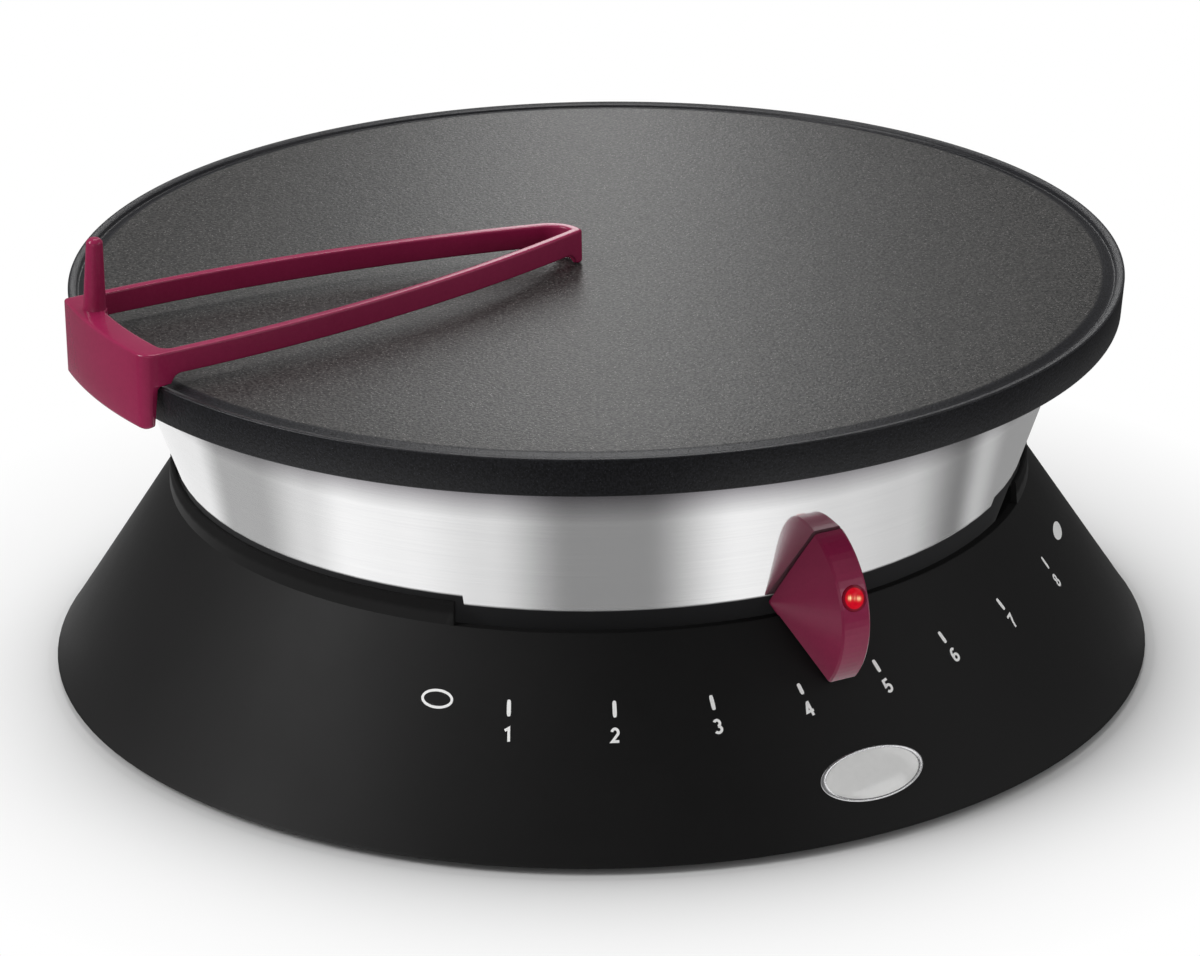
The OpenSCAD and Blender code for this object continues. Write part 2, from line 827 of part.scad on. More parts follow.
module tray_grommet() {
    color("#1b1b1b")
    place(92, 205) rotate_extrude($fn = 64) polygon([
        [4.6, flange_z - 2.4], [8.6, flange_z - 2], [9, flange_z - 0.05], [6.9, flange_z - 0.05],
        [6.9, tray_z + 0.05], [9, tray_z + 0.05], [8.6, tray_z + 2], [4.6, tray_z + 2.4],
    ]);
}

module internal_wires() {
    wire_r = 1.2;
    color("#b8b0a0")
    union() {
        // live terminal, cut-out, thermostat, element, neutral terminal
        bent_rod([[-44, 56, 52.5], [-44, 46, 52.5], [-68, 10, 70], [-64.5, -10, 86]], wire_r);
        bent_rod([[-55.5, -10, 86], [-46, 20, 66], [-14, 36, 60], [-12, 25.2, 54.8]], wire_r);
        bent_rod([[12, 25.2, 54.8], [12, 36, 60], [70, 36, 60], [71.8, 13.4, 73]], wire_r);
        bent_rod([[118.7, 30.5, 73], [104, 60, 58], [-16, 84, 52.5], [-16, 68, 52.5]], wire_r);
        // earth terminal to the earth screw
        bent_rod([[-30, 68, 52.5], [-30, 80, 49], [34, 80, 49], [34, 67.2, 43.8]], wire_r);
    }
}

// ---- Spreader ----

// Puts children in the wedge's own frame: X along its axis from the tip
module in_wedge() {
    translate(tip_at) rotate([0, 0, wedge_turn]) children();
}

// Leaf outline: two long curves, and a wide nose that touches the far one; inset moves it inwards
module leaf(inset) {
    offset_y = blade_r - wedge_half;
    span = blade_r - nose_r;
    nose_y = offset_y - sqrt(pow(span, 2) - pow(wedge_long - nose_r, 2));
    touch_x = wedge_long - (wedge_long - nose_r) * (blade_r - inset) / span;
    intersection() {
        translate([wedge_long, -offset_y]) circle(r = blade_r - inset, $fn = 720);
        union() {
            intersection() {
                translate([wedge_long, offset_y]) circle(r = blade_r - inset, $fn = 720);
                translate([touch_x, -60]) square([200, 120]);
            }
            translate([nose_r, nose_y]) circle(r = nose_r - inset + hair, $fn = 96);
        }
    }
}

// Part of a flat outline that lies within radius r of the plate's centre
module within(r) {
    intersection() {
        circle(r = r, $fn = 360);
        children();
    }
}

// Two blades and their round tip, seen from above
module blade_outline() {
    difference() {
        within(block_in_r + 2) in_wedge() leaf(0);
        within(block_in_r) in_wedge() leaf(blade_t);
    }
}

// Point where a circle about the plate's centre crosses one about c
function crossing(r, c, c_r, side) =
    let (u = c / norm(c), along = (norm(c) + (r * r - c_r * c_r) / norm(c)) / 2)
    along * u + side * sqrt(r * r - along * along) * [-u[1], u[0]];

// Centre of the long curve of the blade on one side
function curve_centre(side) =
    let (x = wedge_long, y = side * (wedge_half - blade_r), s = sin(wedge_turn), c = cos(wedge_turn))
    tip_at + [x * c - y * s, x * s + y * c];

// Centre of the round at the block's outer corner on one side
function corner_centre(side, r) =
    crossing(hook_out_r - r + hair, curve_centre(side), blade_r - r + hair, side);

// What is taken off the block's outer corner on one side; its round crosses both curves by a hair
module outer_corner(side, r) {
    from = curve_centre(side);
    mid = corner_centre(side, r);
    out = 12 * mid / norm(mid);
    across = 12 * (mid - from) / norm(mid - from);
    difference() {
        polygon([mid, mid + out, mid + out + across, mid + across]);
        translate(mid) circle(r = r, $fn = 48);
    }
}

// What is taken off the hook's lower near corner, seen from outside
module hook_corner() {
    mid = corner_centre(1, near_round);
    rotate([0, 0, atan2(mid[1], mid[0])])
        translate([hook_in_r - 3, near_round - hook_round, hook_z + hook_round]) difference() {
            translate([0, 0, -2 * hook_round]) cube([12, 2 * hook_round, 2 * hook_round]);
            translate([-1, 0, 0]) rotate([0, 90, 0]) cylinder(r = hook_round + hair, h = 14, $fn = 64);
        }
}

// Ring piece over the rim, flush with the blades, seen from above
module block_outline(in_r) {
    difference() {
        within(hook_out_r) in_wedge() leaf(0);
        circle(r = in_r, $fn = 360);
        outer_corner(1, near_round);
        outer_corner(-1, far_round);
    }
}

// Hollow curve from the underside of each blade down to the block
module blade_root() {
    drop = blade_z - block_z;
    difference() {
        translate([0, 0, block_z]) linear_extrude(blade_h) difference() {
            blade_outline();
            circle(r = block_in_r - drop + 0.4, $fn = 360);
        }
        rotate_extrude($fn = 360) translate([block_in_r - drop + 0.05, block_z]) circle(r = drop, $fn = 64);
    }
}

// Foot under the tip, with a hollow curve up to the blades
module tip_foot() {
    drop = blade_z - foot_z;
    in_wedge() difference() {
        translate([0, 0, foot_z]) linear_extrude(blade_h) intersection() {
            difference() {
                leaf(0);
                leaf(blade_t);
            }
            translate([-1, -10]) square([foot_l + drop + 0.6, 22]);
        }
        translate([foot_l + drop, 0, foot_z]) rotate([90, 0, 0]) cylinder(r = drop, h = 50, center = true, $fn = 64);
    }
}

module batter_spreader() {
    color("#9e3e5c")
    at_az(spreader_az) {
        translate([0, 0, blade_z]) linear_extrude(blade_h) blade_outline();
        // block over the rim, and the wall that hooks down outside it
        translate([0, 0, block_z]) linear_extrude(spreader_top - block_z) block_outline(block_in_r);
        difference() {
            translate([0, 0, hook_z]) linear_extrude(plate_top + 1 - hook_z) block_outline(hook_in_r);
            hook_corner();
        }
        blade_root();
        tip_foot();
        translate([peg_at[0], peg_at[1], 0]) {
            // root of the peg, beside the block
            translate([0, 0, blade_z]) cylinder(r = peg_r, h = blade_h, $fn = 64);
            // peg, which leans in a little, with a chamfered head
            translate([0, 0, spreader_top]) rotate([0, -peg_lean, 0]) {
                translate([0, 0, -0.5]) cylinder(r1 = peg_r - 0.1, r2 = 2.6, h = peg_h - 0.6, $fn = 64);
                translate([0, 0, peg_h - 1.2]) cylinder(r1 = 2.6, r2 = 1.6, h = 1.2, $fn = 64);
            }
        }
    }
}

base_skirt();
bottom_cover();
rubber_feet();
cover_screws();
cord_gland();
inner_tray();
tray_screws();
steel_band();
seal_ring();
griddle_plate();
tie_studs();
stud_nuts();
spacer_tubes();
heat_shield();
heating_element();
terminal_beads();
element_clamps();
clamp_screws();
sensor_bulb();
bulb_clip();
clip_screws();
thermostat_body();
thermostat_screws();
thermostat_spindle();
arm_hub();
hub_screw();
slider_arm();
slider_knob();
pilot_lamp();
lamp_lens();
lamp_leads();
thermal_cutout();
terminal_block();
earth_screw();
tray_grommet();
internal_wires();
batter_spreader();
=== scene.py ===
# %% [markdown]
# # An electric crepe maker, dressed for the camera
#
# The machine is a round cast plate on a tapering steel band, which stands in a black moulded cone.
# A plum slider runs in a slot round the front and turns the thermostat. A wedge-shaped plum
# spreader hooks over the plate's rim, and is drawn round by its peg to spread the batter.
#
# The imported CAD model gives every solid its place. This file gives the solids their finishes, and
# makes again the pieces whose soft edges and long curves are better drawn as smooth surfaces.

import math

import bmesh
import bpy
import numpy as np
from mathutils import Matrix, Quaternion, Vector


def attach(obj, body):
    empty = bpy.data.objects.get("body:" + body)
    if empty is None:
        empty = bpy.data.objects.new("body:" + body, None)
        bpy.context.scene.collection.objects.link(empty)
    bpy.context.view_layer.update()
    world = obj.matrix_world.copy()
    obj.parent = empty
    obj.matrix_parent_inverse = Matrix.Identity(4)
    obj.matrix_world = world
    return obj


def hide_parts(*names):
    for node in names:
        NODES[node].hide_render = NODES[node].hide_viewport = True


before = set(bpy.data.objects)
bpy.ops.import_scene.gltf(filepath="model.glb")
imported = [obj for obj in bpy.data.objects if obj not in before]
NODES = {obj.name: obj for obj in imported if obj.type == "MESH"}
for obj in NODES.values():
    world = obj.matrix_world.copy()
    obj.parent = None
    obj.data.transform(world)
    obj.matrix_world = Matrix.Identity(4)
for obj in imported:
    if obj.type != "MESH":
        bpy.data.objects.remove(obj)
scene = bpy.context.scene
MM = 0.001
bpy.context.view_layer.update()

# %% [markdown]
# ## The camera
#
# A long lens far away keeps round things round. The camera looks down a little from the front left.
# It is placed by what it aims at, how far it turns and how far it looks down, because these can be
# read and changed. Three small turns then finish the frame.

# %% The camera
LENS, SENSOR_W = 149.07, 36
TURN = math.radians(-28.5)
DOWN = 0.383007
FAR_M, SIGHT_M = 1.63062, 20
AIM = Vector((0, 0, 0.062))
PAN, TILT, ROLL = -0.00019, -0.0038, 0.01412

round_axis = Matrix.Rotation(TURN, 3, "Z")
ahead = round_axis @ Vector((0, math.cos(DOWN), -math.sin(DOWN)))
right = round_axis @ Vector((1, 0, 0))
up = right.cross(ahead)
eye = AIM - FAR_M * ahead

for angle, axis_name in ((PAN, "up"), (TILT, "right"), (ROLL, "ahead")):
    axis = {"up": up, "right": right, "ahead": ahead}[axis_name]
    small_turn = Quaternion(axis, angle)
    ahead, right, up = small_turn @ ahead, small_turn @ right, small_turn @ up

camera = bpy.data.objects.new("camera", bpy.data.cameras.new("camera"))
scene.collection.objects.link(camera)
camera.data.lens = LENS
camera.data.sensor_width = SENSOR_W
camera.data.clip_end = SIGHT_M
camera.matrix_world = Matrix.Translation(eye) @ Matrix((right, up, -ahead)).transposed().to_4x4()
scene.camera = camera
print("camera at", [round(x, 3) for x in eye])

# %% [markdown]
# ## Small tools for materials
#
# A material is a small tree of nodes. `add` puts in one node and fills or links its sockets by
# name, so that a whole effect reads as a few lines. An effect that several materials share is a
# node group: it puts out a Tone, which runs from 0 to 1 over the surface, and a Height for a bump.

# %% Tools for materials
def add(tree, kind, sockets=None, **settings):
    """Adds a node. A value in sockets is set, and a socket in sockets is linked."""
    made = tree.nodes.new("ShaderNode" + kind)
    for key, value in settings.items():
        setattr(made, key, value)
    for key, value in (sockets or {}).items():
        if isinstance(value, bpy.types.NodeSocket):
            tree.links.new(value, made.inputs[key])
        else:
            made.inputs[key].default_value = value
    return made


def maths(tree, operation, a, b=0.0):
    """One sum on two numbers or sockets."""
    return add(tree, "Math", {0: a, 1: b}, operation=operation).outputs[0]


def spread(tree, value, low, high, to_low=0.0, to_high=1.0):
    """Stretches a value between two levels over a new range, and holds it there."""
    ends = {"From Min": low, "From Max": high, "To Min": to_low, "To Max": to_high}
    return add(tree, "MapRange", {"Value": value, **ends}).outputs[0]


def effect_group(name, numbers):
    """Starts a node group with number inputs, and gives it back with its input node and an ending."""
    group = bpy.data.node_groups.new(name, "ShaderNodeTree")
    for label, value in numbers.items():
        socket = group.interface.new_socket(name=label, in_out="INPUT", socket_type="NodeSocketFloat")
        socket.default_value = value
    for label in ("Tone", "Height"):
        group.interface.new_socket(name=label, in_out="OUTPUT", socket_type="NodeSocketFloat")
    source = group.nodes.new("NodeGroupInput")

    def close(tone, height):
        ends = group.nodes.new("NodeGroupOutput")
        group.links.new(tone, ends.inputs["Tone"])
        group.links.new(height, ends.inputs["Height"])
        return group

    return group, source.outputs, close


def noise(tree, place, scale, detail=2.0, rough=0.5):
    """Soft random value at a place."""
    sockets = {"Vector": place, "Scale": scale, "Detail": detail, "Roughness": rough}
    return add(tree, "TexNoise", sockets).outputs["Fac"]


def object_place(tree):
    """The point of the surface in the object's own metres."""
    return add(tree, "TexCoord").outputs["Object"]


def from_axis(tree):
    """Level distance of the point from the upright axis, in metres."""
    level_only = {0: object_place(tree), 1: (1.0, 1.0, 0.0)}
    flat = add(tree, "VectorMath", level_only, operation="MULTIPLY").outputs[0]
    return add(tree, "VectorMath", {0: flat}, operation="LENGTH").outputs["Value"]


def angle_about_axis(tree):
    """Angle of the point about the upright axis in radians: 0 in front, and growing to the right."""
    place = add(tree, "SeparateXYZ", {0: object_place(tree)}).outputs
    return maths(tree, "ARCTAN2", place["X"], maths(tree, "MULTIPLY", place["Y"], -1.0))


# %% [markdown]
# ## Moulded grain
#
# Black and plum plastic comes out of a steel mould, which leaves it either satin with a fine
# pebble or almost polished. Two sizes of noise give the pebble, and a third, much larger one, gives the
# faint patches where hands and cloths have changed the sheen.

# %% Moulded grain
grain, given, close = effect_group("moulded grain", {"Pebbles per metre": 2200.0, "Patches per metre": 14.0})
where = object_place(grain)
fine = noise(grain, where, given["Pebbles per metre"], 3.0)
coarse = noise(grain, where, maths(grain, "MULTIPLY", given["Pebbles per metre"], 0.35), 2.0)
patch = noise(grain, where, given["Patches per metre"], 4.0, 0.6)
pebble = maths(grain, "ADD", maths(grain, "MULTIPLY", fine, 0.6), maths(grain, "MULTIPLY", coarse, 0.4))
tone = maths(grain, "ADD", maths(grain, "MULTIPLY", pebble, 0.4), maths(grain, "MULTIPLY", patch, 0.6))
moulded_grain = close(spread(grain, tone, 0.35, 0.65), pebble)
print("group", moulded_grain.name)

# %% [markdown]
# ## Lines that run round
#
# The steel band is brushed while it turns, and the plate is faced on a lathe, so their fine
# lines are circles about the upright axis. The point is first brought to a direction about the
# axis, which hardly changes along a line, and the height and the radius are then stretched many
# times, so that the noise is drawn out along the circles. There is no seam.

# %% Lines that run round
lines, given, close = effect_group("lines that run round", {"Lines per metre": 2600.0, "Breaks": 2.5})
split = add(lines, "SeparateXYZ", {0: object_place(lines)}).outputs
flat = add(lines, "CombineXYZ", {0: split["X"], 1: split["Y"]}).outputs[0]
radius = add(lines, "VectorMath", {0: flat}, operation="LENGTH").outputs["Value"]
heading = add(lines, "VectorMath", {0: flat}, operation="NORMALIZE").outputs[0]
arms = add(lines, "SeparateXYZ", {0: heading}).outputs
across = maths(lines, "MULTIPLY", maths(lines, "ADD", split["Z"], radius), given["Lines per metre"])
stretched = add(lines, "CombineXYZ", {
    0: maths(lines, "MULTIPLY", arms["X"], given["Breaks"]),
    1: maths(lines, "MULTIPLY", arms["Y"], given["Breaks"]),
    2: across,
}).outputs[0]
line_value = noise(lines, stretched, 1.0, 4.0, 0.65)
lines_that_run_round = close(spread(lines, line_value, 0.3, 0.7), line_value)
print("group", lines_that_run_round.name)

# %% [markdown]
# ## Flecks in a coating
#
# A non-stick coating is sprayed with mineral chips in it, which show as fine pale specks. Each
# Voronoi cell has its own random colour, so a threshold on that keeps only some cells, and the
# distance to the cell's middle makes each speck small and round.

# %% Flecks in a coating
flecks, given, close = effect_group("flecks", {"Flecks per metre": 900.0, "Share": 0.3})
where = object_place(flecks)
cells = add(flecks, "TexVoronoi", {"Vector": where, "Scale": given["Flecks per metre"]})
lottery = add(flecks, "SeparateXYZ", {0: cells.outputs["Color"]}).outputs
chosen = maths(flecks, "LESS_THAN", lottery["X"], given["Share"])
dot = spread(flecks, cells.outputs["Distance"], 0.38, 0.12)
bright = maths(flecks, "ADD", maths(flecks, "MULTIPLY", lottery["Y"], 0.75), 0.25)
fleck = maths(flecks, "MULTIPLY", maths(flecks, "MULTIPLY", chosen, dot), bright)
orange_peel = noise(flecks, where, maths(flecks, "MULTIPLY", given["Flecks per metre"], 0.8), 2.0)
faint = spread(flecks, orange_peel, 0.38, 0.62, 0.0, 0.18)
coating_flecks = close(maths(flecks, "MAXIMUM", fleck, faint),
                       maths(flecks, "ADD", maths(flecks, "MULTIPLY", fleck, 0.3), orange_peel))
print("group", coating_flecks.name)

# %% [markdown]
# ## Pressed fibre and braid
#
# The seal under the plate is pressed mineral felt and the wires wear braided glass sleeves. Both
# are fine crossing threads, so one group serves: two sets of slanted waves, broken by noise.

# %% Pressed fibre and braid
braid, given, close = effect_group("crossing threads", {"Threads per metre": 900.0})
where = object_place(braid)
wobble = noise(braid, where, given["Threads per metre"], 2.0)
parts = add(braid, "SeparateXYZ", {0: where}).outputs
level = maths(braid, "ADD", parts["X"], parts["Y"])
turns = maths(braid, "MULTIPLY", given["Threads per metre"], 2 * math.pi)


def thread_set(sign):
    """One set of threads: a sine of the height plus or minus the level distance."""
    slant = maths(braid, "ADD", parts["Z"], maths(braid, "MULTIPLY", level, sign))
    return maths(braid, "SINE", maths(braid, "MULTIPLY", slant, turns))


weave = maths(braid, "MAXIMUM", thread_set(1.0), thread_set(-1.0))
woven = maths(braid, "ADD", maths(braid, "MULTIPLY", weave, 0.35), wobble)
crossing_threads = close(spread(braid, woven, 0.2, 1.0), woven)
print("group", crossing_threads.name)

# %% [markdown]
# ## One recipe for plain finishes
#
# Most finishes here are two shades of one colour, a range of roughness and a slight relief, all
# led by one effect. The recipe below makes such a material. Whatever is the same all over, such
# as the coat or the metallic value, is set on the shader itself.

# %% The recipe
def effect_node(tree, group, numbers):
    """Places a group in a material and sets its numbers."""
    made = tree.nodes.new("ShaderNodeGroup")
    made.node_tree = group
    for label, value in numbers.items():
        made.inputs[label].default_value = value
    return made.outputs


def colour(rgb):
    """A colour with its alpha."""
    return (*rgb, 1.0)


def mix_colours(tree, share, a, b):
    """Colour that goes from a to b as share goes from 0 to 1."""
    made = add(tree, "Mix", {0: share}, data_type="RGBA")
    for index, value in ((6, a), (7, b)):
        if isinstance(value, bpy.types.NodeSocket):
            tree.links.new(value, made.inputs[index])
        else:
            made.inputs[index].default_value = colour(value)
    return made.outputs[2]


def finish(name, dark, light, rough, effect, numbers=None, relief=0.0, **shader):
    """Material whose colour, roughness and relief follow one effect. Relief is in metres."""
    material = bpy.data.materials.new(name)
    material.use_nodes = True
    tree = material.node_tree
    surface = tree.nodes["Principled BSDF"]
    found = effect_node(tree, effect, numbers or {})
    tree.links.new(mix_colours(tree, found["Tone"], dark, light), surface.inputs["Base Color"])
    tree.links.new(spread(tree, found["Tone"], 0.0, 1.0, *rough), surface.inputs["Roughness"])
    if relief:
        bump = add(tree, "Bump", {"Height": found["Height"], "Distance": relief, "Strength": 1.0})
        tree.links.new(bump.outputs[0], surface.inputs["Normal"])
    for label, value in shader.items():
        surface.inputs[label.replace("_", " ")].default_value = value
    return material


def wear(material, *names):
    """Gives a material to CAD nodes, named as in model.glb."""
    for name in names:
        mesh = NODES[name].data
        mesh.materials.clear()
        mesh.materials.append(material)


# %% [markdown]
# ## Black plastic, rubber and plum plastic
#
# The base is a black polypropylene moulding with a fine grain, which turns grey where light
# grazes it. Inside the slot the mould was left rough, so nothing shines there. The feet and the
# cord's bush are matt rubber. The slider and the spreader are polished plum nylon, deep and glossy.

# %% Plastics and rubber
black_plastic = finish("black plastic", (0.0048, 0.0047, 0.0048), (0.008, 0.0077, 0.0078), (0.5, 0.6),
                       moulded_grain, {"Pebbles per metre": 2600.0}, relief=0.00002, Specular_IOR_Level=0.2)
SLOT_END, CONE_START = 0.1401, 0.1404
tree = black_plastic.node_tree
surface = tree.nodes["Principled BSDF"]
satin = surface.inputs["Roughness"].links[0].from_socket
in_slot = spread(tree, from_axis(tree), SLOT_END, CONE_START, 1.0, 0.0)
tree.links.new(maths(tree, "MAXIMUM", satin, in_slot), surface.inputs["Roughness"])
cover_plastic = finish("cover plastic", (0.014, 0.014, 0.015), (0.024, 0.024, 0.025), (0.55, 0.7),
                       moulded_grain, {"Pebbles per metre": 1500.0}, relief=0.00005)
rubber = finish("rubber", (0.008, 0.008, 0.008), (0.02, 0.02, 0.02), (0.75, 0.9),
                moulded_grain, {"Pebbles per metre": 3000.0}, relief=0.00004)
plum_plastic = finish("plum plastic", (0.225, 0.011, 0.053), (0.28, 0.016, 0.07), (0.18, 0.26),
                      moulded_grain, {"Pebbles per metre": 1600.0}, relief=0.000004,
                      Specular_IOR_Level=0.38)
wear(black_plastic, "base_skirt")
wear(cover_plastic, "bottom_cover")
wear(rubber, "rubber_feet", "cord_gland", "tray_grommet")
wear(plum_plastic, "slider_knob")
print("plastics", black_plastic.name, plum_plastic.name)

# %% [markdown]
# ## Bright steel band
#
# The band is rolled from bright stainless strip. It is close to a mirror, with the strip's fine
# rolling lines running round it, so it needs little colour of its own: what it shows is the room. A
# metallic value just under 1 lays a thin veil over the mirror, as handling does. Two things are
# added to the plain recipe. A tangent round the axis draws the gloss out across the lines, and the
# top centimetre, under the plate, is painted a darker lilac grey as painted shade.

# %% Bright steel band
band_steel = finish("band steel", (0.88, 0.88, 0.885), (0.95, 0.95, 0.95), (0.035, 0.06),
                    lines_that_run_round, {"Lines per metre": 3200.0}, relief=0.0000006,
                    Metallic=0.94, Anisotropic=0.3, Anisotropic_Rotation=0.25)
tree = band_steel.node_tree
surface = tree.nodes["Principled BSDF"]
tangent = add(tree, "Tangent", direction_type="RADIAL", axis="Z")
tree.links.new(tangent.outputs[0], surface.inputs["Tangent"])
plain = surface.inputs["Base Color"].links[0].from_socket
height = add(tree, "SeparateXYZ", {0: object_place(tree)}).outputs["Z"]
# Painted shade: by height, the top centimetre of the band under the plate is darkened to a lilac grey.
BAND_SHADE_FROM, BAND_SHADE_TO = 0.101, 0.1125
painted_shade_under_plate = mix_colours(tree, spread(tree, height, BAND_SHADE_FROM, BAND_SHADE_TO), plain, (0.2, 0.185, 0.205))
print("band", band_steel.name)

# %% [markdown]
# ## The band's foot
#
# At its foot the band mirrors the black base, as a strip with a clean upper line. Behind the base's
# lip the strip stands a little higher than over the slot, where the lip is cut away. A true mirror
# image would also take in the long cone and turn several millimetres more of the band grey, which
# the real one doesn't show. So the base is kept out of mirrors further down, and the strip is laid
# on here instead, by the height of the point and its angle about the axis. It is dull and has no
# metal in it.

# %% The band's foot
GAP_MID, GAP_HALF = math.radians(-5.0), math.radians(41.1)
OVER_SLOT, BEHIND_LIP, SOFT_EDGE = 0.0684, 0.0716, 0.0008
from_gap = maths(tree, "ABSOLUTE", maths(tree, "SUBTRACT", angle_about_axis(tree), GAP_MID))
by_lip = maths(tree, "GREATER_THAN", from_gap, GAP_HALF)
strip_top = spread(tree, by_lip, 0.0, 1.0, OVER_SLOT, BEHIND_LIP)
in_strip = spread(tree, maths(tree, "SUBTRACT", height, strip_top), 0.0, -SOFT_EDGE)
tree.links.new(mix_colours(tree, in_strip, painted_shade_under_plate, (0.004, 0.004, 0.005)), surface.inputs["Base Color"])
lined = surface.inputs["Roughness"].links[0].from_socket
tree.links.new(maths(tree, "MAXIMUM", lined, in_strip), surface.inputs["Roughness"])
metal = spread(tree, in_strip, 0.0, 1.0, surface.inputs["Metallic"].default_value, 0.0)
tree.links.new(metal, surface.inputs["Metallic"])
wear(band_steel, "steel_band")
print("strip up to", OVER_SLOT, "and", BEHIND_LIP)

# %% [markdown]
# ## Plated, rolled and turned metals
#
# Inside are zinc-plated screws and sheet, a rolled reflector, the element's dark steel sheath, the
# bulb's drawn copper and turned brass. All take the recipe as it is. Only the ones that were rolled
# or turned have lines that run round.

# %% Other metals
zinc_steel = finish("zinc steel", (0.5, 0.5, 0.5), (0.66, 0.67, 0.68), (0.3, 0.45),
                    moulded_grain, {"Pebbles per metre": 1200.0}, relief=0.00001, Metallic=1.0)
shield_aluminium = finish("shield aluminium", (0.62, 0.62, 0.63), (0.76, 0.76, 0.77), (0.25, 0.4),
                          lines_that_run_round, {"Lines per metre": 1500.0}, relief=0.00001, Metallic=1.0)
element_sheath = finish("element sheath", (0.06, 0.05, 0.045), (0.16, 0.13, 0.11), (0.5, 0.7),
                        moulded_grain, {"Pebbles per metre": 900.0}, relief=0.00002, Metallic=0.8)
copper = finish("copper", (0.6, 0.3, 0.19), (0.75, 0.4, 0.27), (0.25, 0.4),
                moulded_grain, {"Pebbles per metre": 900.0}, relief=0.00001, Metallic=1.0)
brass = finish("brass", (0.58, 0.43, 0.2), (0.74, 0.58, 0.3), (0.25, 0.38),
               lines_that_run_round, {"Lines per metre": 2500.0}, relief=0.00001, Metallic=1.0)
wear(zinc_steel, "cover_screws", "inner_tray", "tray_screws", "tie_studs", "stud_nuts", "spacer_tubes",
     "element_clamps", "clamp_screws", "bulb_clip", "clip_screws", "thermostat_screws", "hub_screw",
     "slider_arm")
wear(shield_aluminium, "heat_shield")
wear(element_sheath, "heating_element")
wear(copper, "sensor_bulb")
wear(brass, "thermostat_spindle", "arm_hub", "earth_screw")
print("metals", zinc_steel.name, brass.name)

# %% [markdown]
# ## Ceramic, felt and wire
#
# These sit inside, out of sight, and still get the finish that a repairer would find: glazed
# beads and terminal block, warm brown moulding compound, pressed felt and glass sleeves.

# %% Ceramic, felt and wire
ceramic = finish("ceramic", (0.74, 0.7, 0.6), (0.84, 0.81, 0.73), (0.15, 0.3),
                 moulded_grain, {"Pebbles per metre": 700.0}, relief=0.00001)
moulded_block = finish("moulded block", (0.26, 0.22, 0.17), (0.36, 0.31, 0.25), (0.45, 0.6),
                       moulded_grain, {"Pebbles per metre": 1400.0}, relief=0.00003)
heat_felt = finish("heat felt", (0.6, 0.57, 0.5), (0.8, 0.77, 0.7), (0.85, 0.95),
                   crossing_threads, {"Threads per metre": 1400.0}, relief=0.0001)
glass_sleeve = finish("glass sleeve", (0.52, 0.48, 0.4), (0.76, 0.72, 0.62), (0.6, 0.8),
                      crossing_threads, {"Threads per metre": 1100.0}, relief=0.00008)
red_lead = finish("red lead", (0.42, 0.03, 0.025), (0.55, 0.05, 0.04), (0.35, 0.5),
                  crossing_threads, {"Threads per metre": 2000.0}, relief=0.00002)
lamp_glass = finish("lamp glass", (0.9, 0.82, 0.76), (0.96, 0.9, 0.85), (0.03, 0.1),
                    moulded_grain, {"Pebbles per metre": 300.0}, Transmission_Weight=1.0, IOR=1.47)
wear(ceramic, "terminal_beads", "terminal_block")
wear(moulded_block, "thermostat_body", "thermal_cutout")
wear(heat_felt, "seal_ring")
wear(glass_sleeve, "internal_wires")
wear(red_lead, "lamp_leads")
wear(lamp_glass, "pilot_lamp")
print("inner finishes", ceramic.name, heat_felt.name)

# %% [markdown]
# ## The coated plate
#
# The plate is cast aluminium, faced on a lathe and coated. The cooking face is a matt dark grey with
# a fine grain of pale flecks, and the groove, the rim and the outer wall, where nothing is cooked, keep
# a blacker coat. The distance from the axis says which of the two a point wears.

# %% The coated plate
COOK_END, RIM_START = 0.1622, 0.1632
coated_plate = finish("coated plate", (0.008, 0.0078, 0.0076), (0.23, 0.22, 0.21), (0.42, 0.34),
                      coating_flecks, {"Flecks per metre": 1300.0, "Share": 0.5}, relief=0.0001,
                      Specular_IOR_Level=0.35)
tree = coated_plate.node_tree
surface = tree.nodes["Principled BSDF"]
cooking = surface.inputs["Base Color"].links[0].from_socket
on_rim = spread(tree, from_axis(tree), COOK_END, RIM_START)
chips = effect_node(tree, coating_flecks, {"Flecks per metre": 1900.0, "Share": 0.35})["Tone"]
rim_colour = mix_colours(tree, chips, (0.002, 0.002, 0.003), (0.045, 0.046, 0.058))
tree.links.new(mix_colours(tree, on_rim, cooking, rim_colour), surface.inputs["Base Color"])
print("plate", coated_plate.name)

# %% [markdown]
# ## The pilot lens
#
# The lens is a low red dome, ribbed on its inside, over a small lamp. The lamp's light comes
# through the ribs as a row of yellow spots, and reddens the rest. The lens's outer ring lies in
# its seat, and takes the seat's dark plum. The pattern is worked out in the lens's own two
# directions, along the row and across it.

# %% The pilot lens
LENS_TILT = math.radians(19.2)
LENS_FOOT = Vector((0, -133.1 * MM, 62.9 * MM))
FACE_UP = Vector((0, math.sin(LENS_TILT), math.cos(LENS_TILT)))
RIB, ROW_LEAN = 0.6 * MM, math.radians(-14)
BELL_BASE = 7.4
# Each spot: place along the row, half-width, brightness.
SPOTS = [(-1.75, 0.75, 1.0), (-0.2, 0.5, 0.35), (1.3, 1.1, 0.75)]
SPOT_H = 0.85 * MM
GLOW_R, SEAT_R = 3.1 * MM, 3.4 * MM

red_lens = bpy.data.materials.new("red lens")
red_lens.use_nodes = True
tree = red_lens.node_tree
surface = tree.nodes["Principled BSDF"]
from_foot = add(tree, "VectorMath", {0: object_place(tree), 1: LENS_FOOT}, operation="SUBTRACT").outputs[0]
ALONG = math.cos(ROW_LEAN) * Vector((1, 0, 0)) + math.sin(ROW_LEAN) * FACE_UP
ACROSS = math.cos(ROW_LEAN) * FACE_UP - math.sin(ROW_LEAN) * Vector((1, 0, 0))
along_row = add(tree, "VectorMath", {0: from_foot, 1: ALONG}, operation="DOT_PRODUCT").outputs["Value"]
across_row = add(tree, "VectorMath", {0: from_foot, 1: ACROSS}, operation="DOT_PRODUCT").outputs["Value"]


